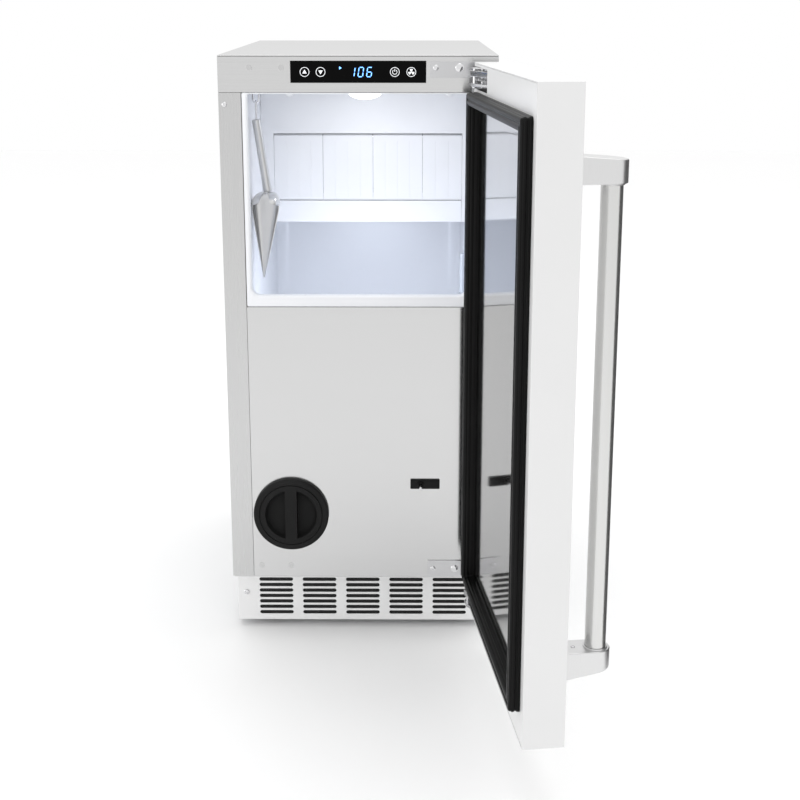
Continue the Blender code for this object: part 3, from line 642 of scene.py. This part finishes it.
def lamp():
    base, deep, radius = base_of("lamp_lens")
    top = base + Vector((0.0, 0.0, deep))
    collar = [(0.0, radius), (0.0016, radius), (0.0022, radius - 0.0008)]
    collar += [(0.0022, radius - 0.003), (0.0, radius - 0.0032)]
    add("lamp_collar", lathe(top, DOWN, collar), "liner_plastic", "cabinet")
    glass, swell = radius - 0.0033, deep - 0.001
    profile = [(0.0008, glass)]
    profile += [(0.001 + swell * sin(a), glass * cos(a) + 0.0001) for a in quarter(10)]
    dome = lathe(top, DOWN, profile)
    add("lamp_dome", dome, "lamp_glow", "cabinet", replaces=["lamp_lens"])


def thermostat():
    node = "bin_thermostat"
    low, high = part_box(node)
    x, y, foot, bend = low.x + 0.0068, (low.y + high.y) / 2, low.z + 0.006, 0.0045
    path = [Vector((x, y, z)) for z in (high.z, high.z - 0.002, foot + 0.01)]
    for a in (0.0, 0.5, 1.0, 1.5):
        path.append(Vector((x + bend * (1 - cos(a)), y, foot + 0.006 - bend * sin(a))))
    sleeve = tube(path, 0.003, 20)
    add(f"{node}_tube", sleeve, "fitting_plastic", "cabinet", replaces=[node])
    clip_x = (x - MIDDLE_X - 0.004, high.x - MIDDLE_X)
    clip = soft_edges(block(clip_x, (0.188, 0.212), (TOP_Z - foot, TOP_Z - low.z)), 0.0012)
    add(f"{node}_clip", clip, "fitting_plastic", "cabinet")


def ice_making():
    dress("evaporator_cover", "curtain_plastic", 0.0008)
    dress("water_trough", "curtain_plastic", 0.0008)
    dress("distributor_tube", "fitting_plastic", 0.0004)
    dress("curtain_rod", "polished_steel", 0.0003)
    for number in range(1, 5):
        curtain_flap(number)
    evaporator_grid()


def curtain_flap(number):
    """One flap: a sheet with upright grooves, hung on the rod by a barrel."""
    node, body, radius = f"curtain_flap_{number}", f"curtain_{number}", 0.0055
    low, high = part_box(node)
    x, y, depth = extent(node)
    rod = Vector((low.x, (low.y + high.y) / 2, high.z - radius))
    left, right, front = x[0] - 0.0002, x[1] + 0.0002, y[0]
    sheet = block((left, right), (front, front + 0.0025), (TOP_Z - rod.z - 0.0028, depth[1]))
    count = max(2, round((right - left) / 0.019))
    grooves = []
    for i in range(1, count):
        middle = left + (right - left) * i / count
        groove = (middle - 0.0003, middle + 0.0003)
        grooves.append(block(groove, (front - 0.01, front + 0.0003), (0.14, 0.226)))
    length = high.x - low.x
    barrel = [(0.0, 0.0036), (0.0, 0.0051), (0.0003, 0.0054)]
    barrel += [(length - 0.0003, 0.0054), (length, 0.0051), (length, 0.0036)]
    flap = combined([cut(sheet, grooves, 0.0002, 1), hoop(rod, 0, barrel, 32)])
    add(f"curtain_panel_{number}", flap, "curtain_plastic", body, replaces=[node])


def evaporator_grid():
    """The freezing plate, with open cells on its front."""
    x, y, depth = extent("evaporator_plate")
    columns, rows, rim, wall = 11, 6, 0.004, 0.002

    def cell(span, number, count):
        pitch = (span[1] - span[0] - 2 * rim) / count
        start = span[0] + rim + pitch * number
        return start, start + pitch - wall

    cells = []
    for column in range(columns):
        for row in range(rows):
            cells.append(block(cell(x, column, columns), (y[0] - 0.01, y[0] + 0.008), cell(depth, row, rows)))
    grid = cut(block(x, y, depth), cells)
    add("evaporator_grid", grid, "polished_steel", "cabinet", replaces=["evaporator_plate"])


def scoop():
    """The hanging scoop: a tapered grip, a wire link, a bowl, and the hanger's plate on the ceiling."""
    hook = Vector(JOINTS["scoop_swing"]["pos_m"])
    grip_top = Vector((hook.x - 0.0003, hook.y, TOP_Z - 0.0935))
    grip_end = Vector((hook.x + 0.014, hook.y, TOP_Z - 0.196))
    scoop_grip(grip_top, grip_end)
    scoop_link(hook, hook.z + 0.0028, grip_top.z - 0.002)
    scoop_bowl(hook)
    dress("scoop_hanger", "polished_steel")
    place = at(hook.x - MIDDLE_X, hook.y - FRONT_Y, 0.0533)
    plate = lathe(place, DOWN, [(0.0, 0.005), (0.0012, 0.0048), (0.002, 0.003)], 32)
    add("scoop_hanger_plate", plate, "polished_steel", "cabinet")


def scoop_grip(top, end):
    along, length = (end - top).normalized(), (end - top).length
    steps = [(0.0, 0.72), (0.0006, 0.93), (0.0016, 1.0), (length * 0.45, 0.98), (length * 0.9, 1.0)]
    steps += [(length * 0.97, 1.06), (length, 1.0)]
    grip = tube([top + along * s for s, _ in steps], 0.0062, 32, radii=[r for _, r in steps])
    add("scoop_grip", grip, "scoop_steel", "scoop", replaces=["scoop_handle"])


def scoop_link(hook, top, bottom):
    """A long wire loop between the hook and the grip."""
    bend = 0.004
    reach = (top - bottom) / 2 - bend
    points = []
    for i in range(32):
        a = 2 * pi * i / 32
        middle = (top + bottom) / 2 + (reach if sin(a) >= 0 else -reach)
        points.append((hook.x, hook.y + bend * cos(a), middle + bend * sin(a)))
    add("scoop_link", tube(points, 0.001, 12, cyclic=True), "polished_steel", "scoop")


def scoop_bowl(hook):
    """A bowl of thin sheet, closed round at the top and open to the front below, down to its point."""
    low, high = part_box("scoop_bowl")
    count, dome, wide = 48, 0.11, 0.0196
    start, run = TOP_Z - 0.1968, high.z - low.z
    bm = bmesh.new()
    loops = []
    for i in range(count + 1):
        t = (i / count) ** 1.5
        if t < dome:
            half = 0.0062 + 0.0134 * (1 - (1 - t / dome) ** 2) ** 0.5
        else:
            half = wide * min(1.0, 1 - (t - 0.2) / 0.8 * 0.95)
        opened = min(1.0, max(0.0, t - dome * 0.75) / (dome * 0.5))
        wrap = radians(84) * (1 - opened**2)
        ring = scoop_arc(hook.x + 0.0125 - 0.0067 * t, hook.y, start - run * t, half, wrap)
        loops.append([bm.verts.new(point) for point in ring])
    for first, second in zip(loops, loops[1:]):
        for i in range(len(first) - 1):
            bm.faces.new((first[i], first[i + 1], second[i + 1], second[i]))
    bm.faces.new(loops[0])
    sheet = bpy.data.meshes.new("bowl")
    bm.to_mesh(sheet)
    bm.free()
    bowl = modified(sheet, [("SOLIDIFY", {"thickness": 0.0011, "offset": -1.0}), rounding(0.0003, 2, 60)], 50)
    add("scoop_shell", bowl, "scoop_steel", "scoop", replaces=["scoop_bowl"])


def eased(value):
    """Fills a circle out towards a rounded square."""
    return (abs(value) ** 0.45) * (1 if value >= 0 else -1)


def scoop_arc(middle, y, z, half, wrap):
    """A section of the bowl: half of a rounded square, open to the front, its ends carried on by wrap."""
    depth, steps = half * 1.05, 40
    arc = [-wrap + (pi + 2 * wrap) * i / steps for i in range(steps + 1)]
    return [(middle - eased(cos(a)) * half, y + eased(sin(a)) * depth - depth * 0.58, z) for a in arc]


def filter_cap():
    """A black twist cap: a rounded rim with a groove, and a grip bar between two hollows."""
    centre = at(CAP_X, 0.0, CAP_DEPTH)
    proud, radius, edge = 0.008, CAP_RADIUS, 0.003
    profile = [(-0.026, 0.03), (-0.026, radius - 0.0055), (-0.0004, radius - 0.0055), (0.0003, radius)]
    profile += [(proud - edge + 0.0026 * sin(a), radius - edge * (1 - cos(a))) for a in quarter(8)]
    top, groove = proud - 0.0002, proud - 0.0014
    profile += [(top, radius - 0.008), (groove, radius - 0.0086), (groove, radius - 0.0094)]
    profile += [(top, radius - 0.01), (top, 0.01)]
    disc = lathe(centre, FORWARD, profile, 128)
    moulding = cut(disc, [cap_hollow(-1, proud), cap_hollow(1, proud)], 0.0008, 3)
    add("filter_cap_moulding", moulding, "black_plastic", "filter", replaces=["filter_cap"])
    rib_depth = (CAP_DEPTH - 0.03, CAP_DEPTH + 0.03)
    rib = block((CAP_X - 0.0006, CAP_X + 0.0006), (-0.0076, -0.0065), rib_depth)
    add("filter_cap_rib", soft_edges(rib, 0.0003), "black_plastic", "filter")
    inner, outer, front, back = radius - 0.0035, radius + 0.003, 0.0018, 0.03
    socket = hoop(centre, 1, [(back, inner), (back, outer), (front, outer), (front, inner)], 96)
    add("filter_socket_ring", socket, "black_plastic", "cabinet", replaces=["filter_socket"])
    dress("filter_cartridge", "fitting_plastic", 0.0006)


def cap_hollow(side, proud):
    """The cutter of a half-round hollow beside the grip bar, dished towards its floor."""
    dish = [(-0.02, 1.0), (-proud, 1.0), (-0.002, 0.97), (0.0015, 0.9)]
    dish += [(0.004, 0.78), (0.0056, 0.62), (0.0062, 0.42)]
    rings = []
    for level, reach in dish:
        bar, wide = 0.0085 + 0.0004 * (1 - reach), 0.0376 * reach
        edge = asin(min(0.99, bar / wide))
        arc = [-pi / 2 + edge + (pi - 2 * edge) * i / 32 for i in range(33)]
        rings.append([at(CAP_X + side * wide * cos(a), level, CAP_DEPTH + wide * sin(a)) for a in arc])
    return loft(rings, smooth=60)


def power_switch():
    """The switch: a plate with a notch, a nut round its hole, and a lever with a knob."""
    pivot = Vector(JOINTS["power_switch_toggle"]["pos_m"])
    x, y, depth = extent("switch_plate")
    hole = lathe(pivot + Vector((0.0, 0.01, 0.0)), FORWARD, [(0.0, 0.0042), (0.02, 0.0042)], 40)
    notch_depth = (depth[0] + 0.0017, depth[0] + 0.0021)
    notch = block((x[0] - 0.001, x[1] + 0.001), (y[0] - 0.001, y[0] + 0.0004), notch_depth)
    plate = cut(prism(round_rect(x, depth, 0.0012), *y), [hole, notch], 0.0003, 2)
    add("switch_bezel", plate, "black_plastic", "cabinet", replaces=["switch_plate"])
    bush = [(0.0, 0.0036), (-0.0026, 0.004), (-0.0026, 0.0026), (0.0, 0.0026)]
    add("switch_nut", hoop(pivot, 1, bush, 6), "black_plastic", "cabinet")
    lean = radians(15)
    along = Vector((0.0, -cos(lean), -sin(lean)))
    steps = [(-0.002, 1.0), (-0.001, 1.5), (0.0, 1.55), (0.0014, 1.25), (0.0024, 0.85), (0.0064, 0.95)]
    steps += [(0.009, 1.3), (0.0106, 1.45), (0.0116, 1.25), (0.012, 0.7)]
    stick = tube([pivot + along * s for s, _ in steps], 0.0016, 24, radii=[r for _, r in steps])
    node = "power_switch_lever"
    add("switch_lever", stick, "polished_steel", "power_switch", replaces=[node])


def kick_grille():
    """The toe kick's grille: five groups of seven slots, a near-black sheet behind them as painted shade, and two
    screws.
    """
    x, y, depth = extent("kick_grille")
    slots = []
    for group in range(-2, 3):
        for row in range(7):
            opening = slot((0.0655 * group, 0.783 + 0.00897 * row), 0.051, 0.0057)
            slots.append(prism(opening, y[0] - 0.01, y[1] + 0.01))
    plate = cut(prism(round_rect(x, depth, 0.0006, 2), *y), slots, 0.0004, 2)
    add("grille_plate", plate, "white_enamel", "cabinet", replaces=["kick_grille"])
    # Painted shade: a near-black sheet behind the slots stands for the dark of the machine space behind the
    # grille.
    inside = (depth[0] + 0.012, depth[1] - 0.008)
    shade_sheet = block((x[0] + 0.01, x[1] - 0.01), (y[1] + 0.0006, y[1] + 0.0012), inside)
    add("grille_painted_shade", soft_edges(shade_sheet, 0.0002, 1), "painted_shade_black", "cabinet")
    pan = screw_mesh(0.0042, 0.0024)
    screws("grille_screw", pan, [at(sx, y[0], 0.8036) for sx in (-0.1762, 0.1762)], FORWARD, "cabinet")


# The door, drawn shut


def door_ring(inset, y, radius):
    """A round rectangle inside the gasket's outer edge by inset, at a distance y from the front plane."""
    x = HALF - GASKET_IN - inset
    depth = (GASKET_TOP + inset, GASKET_BOTTOM - inset)
    return [at(u, y, d) for u, d in round_rect((-x, x), depth, max(0.002, radius - inset), 8)]


GASKET_LIPS = (  # (inset from the gasket's outer edge, rise from the door), round the section
    (0.0, 0.0), (0.0, 0.003), (0.0012, 0.0042), (0.0012, 0.0058), (0.0002, 0.0072),
    (0.0002, 0.0092), (0.0012, 0.0104), (0.0012, 0.0116), (0.0022, 0.013), (0.004, 0.0137),
    (0.0068, 0.0137), (0.0082, 0.0125), (0.0096, 0.0125), (0.011, 0.0137), (0.0138, 0.0137),
    (0.016, 0.0127), (0.0172, 0.011), (0.0172, 0.009), (0.0184, 0.0074), (0.0184, 0.0052),
    (0.0176, 0.004), (0.0185, 0.002), (0.0185, 0.0),
)


def door():
    """The door's skin, inner sheet, gasket and polished tray."""
    dress("door_skin", "door_white", 0.0009, 3)
    dress("door_inner_panel", "door_white", 0.0002)
    dress("door_foam", "rigid_foam")
    for end in ("upper", "lower"):
        dress(f"{end}_hinge_block", "black_plastic", 0.0005)
        dress(f"{end}_hinge_pin", "polished_steel", 0.0004)
    root = DOOR_INNER + 0.0002
    rings = [door_ring(inset, root + rise, 0.006) for inset, rise in GASKET_LIPS]
    relief = block((0.0945, HALF), (-0.0046, 0.01), (0.7274, DOOR_BOTTOM))
    bellows = cut(loft(rings, cyclic=True, smooth=30), [relief])
    add("gasket_bellows", bellows, "gasket_rubber", "door", DOOR, ["door_gasket"])
    pan = [(0.0188, 0.0002), (0.0188, 0.0004), (0.019, 0.0006), (0.03, 0.0006), (0.0303, 0.0007)]
    tray = loft([door_ring(inset, DOOR_INNER + rise, 0.02) for inset, rise in pan], smooth=50)
    add("door_liner_tray", tray, "mirror_steel", "door", DOOR)
    seam_x, seam_y = (-HALF + 0.003, HALF - 0.003), (DOOR_INNER + 0.0001, DOOR_INNER + 0.0003)
    seam = block(seam_x, seam_y, (DOOR_BOTTOM - 0.003, DOOR_BOTTOM - 0.0027))
    add("door_seam", seam, "grey_mark", "door", DOOR)


def handle_post(low, high, low_tip, high_tip):
    """A cast post: flat at the door, round at its free end, one side slanted, edges rounded."""
    half, root, tip = 0.017, DOOR_OUTER - 0.0003, DOOR_OUTER - 0.0624
    count = 32
    outline = [(BAR_X - half, root)]
    for i in range(count + 1):
        a = pi + pi * i / count
        outline.append((BAR_X + half * cos(a), tip + half * (1 + sin(a))))
    outline.append((BAR_X + half, root))

    def ring(at_root, at_tip):
        return [at(x, y, at_root + (at_tip - at_root) * (root - y) / (root - tip)) for x, y in outline]

    return soft_edges(loft([ring(low, low_tip), ring(high, high_tip)]), 0.0014, 4)


def handle():
    """Two cast posts, the round bar between them, a collar at each end of it, and a screw in each post."""
    upper, lower = 0.1205, 0.6767
    top, bottom = handle_post(upper, 0.0889, upper, 0.0941), handle_post(0.7127, lower, 0.7011, lower)
    add("handle_post_top", top, "post_cast_steel", "door", DOOR, ["upper_handle_post"])
    add("handle_post_bottom", bottom, "post_cast_steel", "door", DOOR, ["lower_handle_post"])
    profile = [(0.0, 0.0125), (lower - upper - 0.0006, 0.0125)]
    bar = lathe(at(BAR_X, BAR_Y, lower - 0.0003), UP, profile, 96)
    add("handle_tube", bar, "handle_steel", "door", DOOR, ["handle_bar"])
    profile = [(0.0, 0.0145), (0.001, 0.0145), (0.0016, 0.0139), (0.0016, 0.0128), (0.0, 0.0127)]
    socket = screw_mesh(0.0026, 0.001)
    ends = (("top", upper + 0.0001, 1), ("bottom", lower - 0.0001, -1))
    for name, depth, way in ends:
        collar = hoop(at(BAR_X, BAR_Y, depth), 2, [(-way * level, r) for level, r in profile], 64)
        add(f"handle_collar_{name}", collar, "post_cast_steel", "door", DOOR)
    for number, (_, depth, way) in enumerate(ends, 1):
        place = at(BAR_X, DOOR_OUTER - 0.018, depth)
        screws(f"handle_screw_{number}", socket, [place], (0, 0, -way), "door", base=DOOR)


def hinges():
    """Each hinge: a plate with screws on the cabinet, its links in the door, and bands round its pin."""
    for end in ("upper", "lower"):
        dress(f"{end}_hinge_bracket", "link_steel", 0.0007, 3)
    pan, rivet = screw_mesh(0.004, 0.002), lathe(Vector(), FORWARD, RIVET, 40)
    profile = [(-0.0016, 0.009), (-0.0012, 0.0095), (0.0012, 0.0095), (0.0016, 0.009)]
    for end, depth, level in (("upper", UPPER_HINGE, 0.0165), ("lower", LOWER_HINGE, 0.7418)):
        screws(f"{end}_hinge_screw", pan, [at(0.1048, -0.002, level)], FORWARD, "cabinet")
        screws(f"{end}_hinge_rivet", rivet, [at(0.1365, -0.002, level)], FORWARD, "cabinet")
        hinge_leaf(end, depth)
        low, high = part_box(f"{end}_hinge_pin")
        middle = Vector((PIVOT.x, PIVOT.y, (low.z + high.z) / 2))
        reach = (high.z - low.z) / 2 - 0.0048
        for number, share in enumerate((-0.62, 0.0, 0.62), 1):
            band = lathe(middle + Vector((0, 0, reach * share)), UP, profile, 48)
            add(f"{end}_hinge_band_{number}", band, "polished_steel", "cabinet")


def slab(outline, top, bottom):
    """A flat plate whose outline is seen from above, as (x, y) points."""
    return loft([[at(x, y, bottom) for x, y in outline], [at(x, y, top) for x, y in outline]])


def link_outline(start, end, radii):
    """A bar with two round ends."""
    lean = atan2(end[1] - start[1], end[0] - start[0])
    points = []
    for (x, y), radius, turn in ((start, radii[0], pi / 2), (end, radii[1], -pi / 2)):
        for i in range(13):
            angle = lean + turn + pi * i / 12
            points.append((x + radius * cos(angle), y + radius * sin(angle)))
    return points


def hinge_leaf(end, depth):
    """The door's half of a hinge, in its pocket: a leaf with two screws, links, and pins that join them."""
    arm = link_outline((0.113, -0.027), (0.164, -0.0105), (0.0048, 0.006))
    link = link_outline((0.118, -0.028), (0.165, -0.016), (0.0032, 0.004))
    plate = [(0.108, -0.0318), (0.168, -0.0318), (0.17, -0.01), (0.166, -0.0055)]
    plate += [(0.152, -0.006), (0.134, -0.015)]
    cap = [(0.14, -0.03), (0.169, -0.03), (0.171, -0.012), (0.166, -0.006), (0.156, -0.007)]
    leaf = block((0.0995, 0.1665), (-0.0341, -0.0322), (depth + 0.001, depth + 0.028))
    pieces = {
        "leaf": (leaf, 0.0005),
        "arm": (slab(arm, depth + 0.0042, depth + 0.0118), 0.0008),
        "link": (slab(link, depth + 0.014, depth + 0.0178), 0.0006),
        "plate": (slab(plate, depth + 0.0205, depth + 0.0245), 0.0007),
        "cap": (slab(cap, depth + 0.0004, depth + 0.0022), 0.0004),
    }
    for name, (mesh, width) in pieces.items():
        piece = soft_edges(mesh, width, 3)
        add(f"{end}_hinge_{name}", piece, "link_steel", "door", DOOR)
    spots = ((0.164, -0.0105, 0.0026), (0.159, -0.02, 0.002), (0.114, -0.0272, 0.0022))
    for number, (x, y, radius) in enumerate(spots, 1):
        head = radius * 1.3
        profile = [(0.0, radius), (0.0004, head), (0.0014, head), (0.0018, radius), (0.0262, radius)]
        profile.append((0.0266, radius * 0.8))
        pin = lathe(at(x, y, depth + 0.027), UP, profile, 32)
        add(f"{end}_hinge_link_pin_{number}", pin, "polished_steel", "door", DOOR)
    pan = screw_mesh(0.0036, 0.0018)
    places = [at(x, -0.0322, depth + 0.0145) for x in (0.104, 0.15)]
    screws(f"{end}_leaf_screw", pan, places, (0, 1, 0), "door", base=DOOR)


# Machine compartment, feet and back fittings


def machinery():
    compressor()
    condenser()
    for node in ("fan_shroud", "fan_blade", "circulation_pump", "drain_outlet", "power_inlet"):
        dress(node, "black_plastic", 0.0005)
    dress("fan_motor", "black_enamel", 0.0005)
    dress("filter_drier", "copper", 0.0005)
    dress("control_box", "zinc_steel", 0.0005)
    dress("water_inlet_valve", "fitting_plastic", 0.0005)
    inlets()


def compressor():
    """A can with a flat foot, a seam round its middle and a domed top."""
    centre, tall, wide = base_of("compressor")
    groove, seam = wide * 0.985, (tall * 0.42, tall * 0.44)
    profile = [(tall * 0.1 * (1 - cos(a)), wide * (0.83 + 0.17 * sin(a))) for a in quarter(8)]
    profile += [(seam[0], wide), (seam[0], groove), (seam[1], groove), (seam[1], wide)]
    profile += [(tall * (0.62 + 0.38 * sin(a)), wide * max(0.05, cos(a))) for a in quarter(12)]
    can = lathe(centre, UP, profile, 96)
    add("compressor_shell", can, "black_enamel", "cabinet", replaces=["compressor"])


def condenser():
    """Fins between two end plates, and a tube that runs to and fro through them."""
    x, y, depth = extent("condenser")
    count, rows = 46, 7
    fin_y, fin_depth = (y[0] + 0.001, y[1] - 0.001), (depth[0] + 0.001, depth[1] - 0.001)
    fins = []
    for i in range(count):
        middle = x[0] + 0.006 + (x[1] - x[0] - 0.012) * i / (count - 1)
        fins.append(block((middle - 0.0002, middle + 0.0002), fin_y, fin_depth))
    add("condenser_fins", combined(fins), "fin_aluminium", "cabinet", replaces=["condenser"])
    for side, span in (("left", (x[0], x[0] + 0.0012)), ("right", (x[1] - 0.0012, x[1]))):
        plate = soft_edges(block(span, y, depth), 0.0003)
        add(f"condenser_end_{side}", plate, "zinc_steel", "cabinet")
    path = []
    ends = [x[0] + 0.004, x[1] - 0.004]
    for row in range(rows):
        level = depth[0] + 0.014 + (depth[1] - depth[0] - 0.028) * row / (rows - 1)
        path += [at(end, (y[0] + y[1]) / 2, level) for end in ends]
        ends.reverse()
    add("condenser_tube", tube(path, 0.0035, 12), "copper", "cabinet")


def inlets():
    """The water inlet's thread and the nut of the power inlet's gland, on the back."""
    mounts = {m["name"]: Vector(m["pos_m"]) for m in frame["record"]["mounts"] if "pos_m" in m}
    root, crest = 0.01352, 0.0141
    profile = [(-0.0092, 0.012)]
    for i in range(5):
        level = -0.0086 + 0.0017 * i
        profile += [(level, root), (level + 0.0005, crest), (level + 0.0009, crest), (level + 0.0014, root)]
    profile.append((-0.0002, 0.012))
    thread = hoop(mounts["water_inlet"], 1, profile, 48)
    add("water_inlet_thread", thread, "fitting_plastic", "cabinet")
    profile = [(0.0, 0.0128), (0.0006, 0.0132), (0.0044, 0.0132), (0.005, 0.0126)]
    nut = lathe(mounts["power_inlet"] - Vector((0, 0.0095, 0)), (0, 1, 0), profile, 6)
    add("power_inlet_nut", nut, "black_plastic", "cabinet")


def feet():
    """Each levelling foot: a pad and a threaded stud."""
    pad = [(0.0, 0.015), (0.0004, 0.0168), (0.0012, 0.017), (0.0056, 0.017), (0.0062, 0.0166)]
    pad += [(0.0082, 0.0122), (0.0086, 0.01)]
    pitch = 0.0012
    for corner in ("front_left", "front_right", "rear_left", "rear_right"):
        node, body = f"{corner}_levelling_foot", f"{corner}_foot"
        centre, tall, _ = base_of(node)
        sole = lathe(centre, UP, pad, 64)
        add(f"{corner}_foot_pad", sole, "black_plastic", body, replaces=[node])
        thread = [(0.0086, 0.004)]
        for i in range(int((tall - 0.01) / pitch)):
            z = 0.0088 + pitch * i
            thread += [(z, 0.0044), (z + pitch * 0.45, 0.005), (z + pitch * 0.55, 0.005)]
        thread += [(tall - 0.0004, 0.0042), (tall, 0.0036)]
        stud = lathe(centre, UP, thread, 24)
        add(f"{corner}_foot_stud", stud, "zinc_steel", body)


# Stage


def area_light(name, place, target, size, power, colour=(1, 1, 1)):
    data = bpy.data.lights.new(name, "AREA")
    data.shape = "RECTANGLE"
    data.size, data.size_y = size
    data.energy = power
    data.color = colour
    made = bpy.data.objects.new(name, data)
    bpy.context.scene.collection.objects.link(made)
    made.location = place
    made.rotation_euler = (Vector(target) - Vector(place)).to_track_quat("-Z", "Y").to_euler()
    made.visible_camera = False
    return made


def reflector(place, away, wide, tall):
    """A grey card beside the door that only gloss sees, for the dark edge of the round handle bar."""
    across = away.cross(Vector((0, 0, 1))).normalized() * wide / 2
    up = Vector((0, 0, tall / 2))
    bm = bmesh.new()
    bm.faces.new([bm.verts.new(place + across * u + up * v) for u, v in ((-1, -1), (1, -1), (1, 1), (-1, 1))])
    card = shown("reflector", finished(bm))
    card.data.materials.append(moulded("card_grey", (0.11,) * 3, 0.9, 300.0))
    card.visible_camera = False
    card.visible_shadow = False
    card.visible_diffuse = False


def stage():
    world = bpy.data.worlds.new("studio")
    world.use_nodes = True
    background = world.node_tree.nodes["Background"].inputs
    background["Color"].default_value = (1.0, 1.0, 1.0, 1.0)
    background["Strength"].default_value = 1.0
    bpy.context.scene.world = world
    bpy.context.scene.view_settings.view_transform = "Standard"
    bm = bmesh.new()
    for corner in ((-6, -6), (6, -6), (6, 6), (-6, 6)):
        bm.verts.new((*corner, -0.0002))
    bm.faces.new(bm.verts)
    floor = shown("floor", finished(bm))
    pale = principled("pale_floor", (0.99,) * 3, 0.6)
    rough(pale, noise(pale, 3.0), 0.55, 0.65)
    floor.data.materials.append(pale)
    middle = at(0.0, 0.0, 0.45)
    area_light("key", middle + Vector((-2.8, -1.0, 0.6)), middle, (1.6, 1.6), 12.0)
    area_light("top", middle + Vector((0.2, 0.2, 2.6)), middle, (2.0, 2.0), 20.0)
    bulb = base_of("lamp_lens")[0] - Vector((0.0, 0.0, 0.002))
    area_light("bin_lamp", bulb, bulb - Vector((0.0, -0.02, 0.3)), (0.05, 0.05), 0.08, (0.97, 0.97, 1.0))
    area_light("bin_fill", at(0.0, 0.03, 0.375), at(0.0, 0.43, 0.4), (0.13, 0.05), 0.37, (0.82, 0.88, 1.0))
    bar_low, bar_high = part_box("handle_bar")
    away = Matrix.Rotation(radians(112), 3, "Z") @ Vector((0.0, -0.22, 0.0))
    reflector((bar_low + bar_high) / 2 + away, away, 0.34, 0.84)
    camera = shown("camera", bpy.data.cameras.new("camera"))
    camera.data.sensor_width = 36.0
    camera.data.lens = 58.4
    camera.data.shift_y = -0.13
    camera.data.clip_start = 0.01
    camera.location = at(0.068, -1.7648, -0.0849)
    camera.rotation_euler = (radians(90 - 13.27), 0.0, -radians(-0.37))
    bpy.context.scene.camera = camera


def main():
    make_materials()
    stage()
    casing()
    display()
    compartment()
    ice_making()
    scoop()
    filter_cap()
    power_switch()
    kick_grille()
    door()
    handle()
    hinges()
    machinery()
    feet()


main()
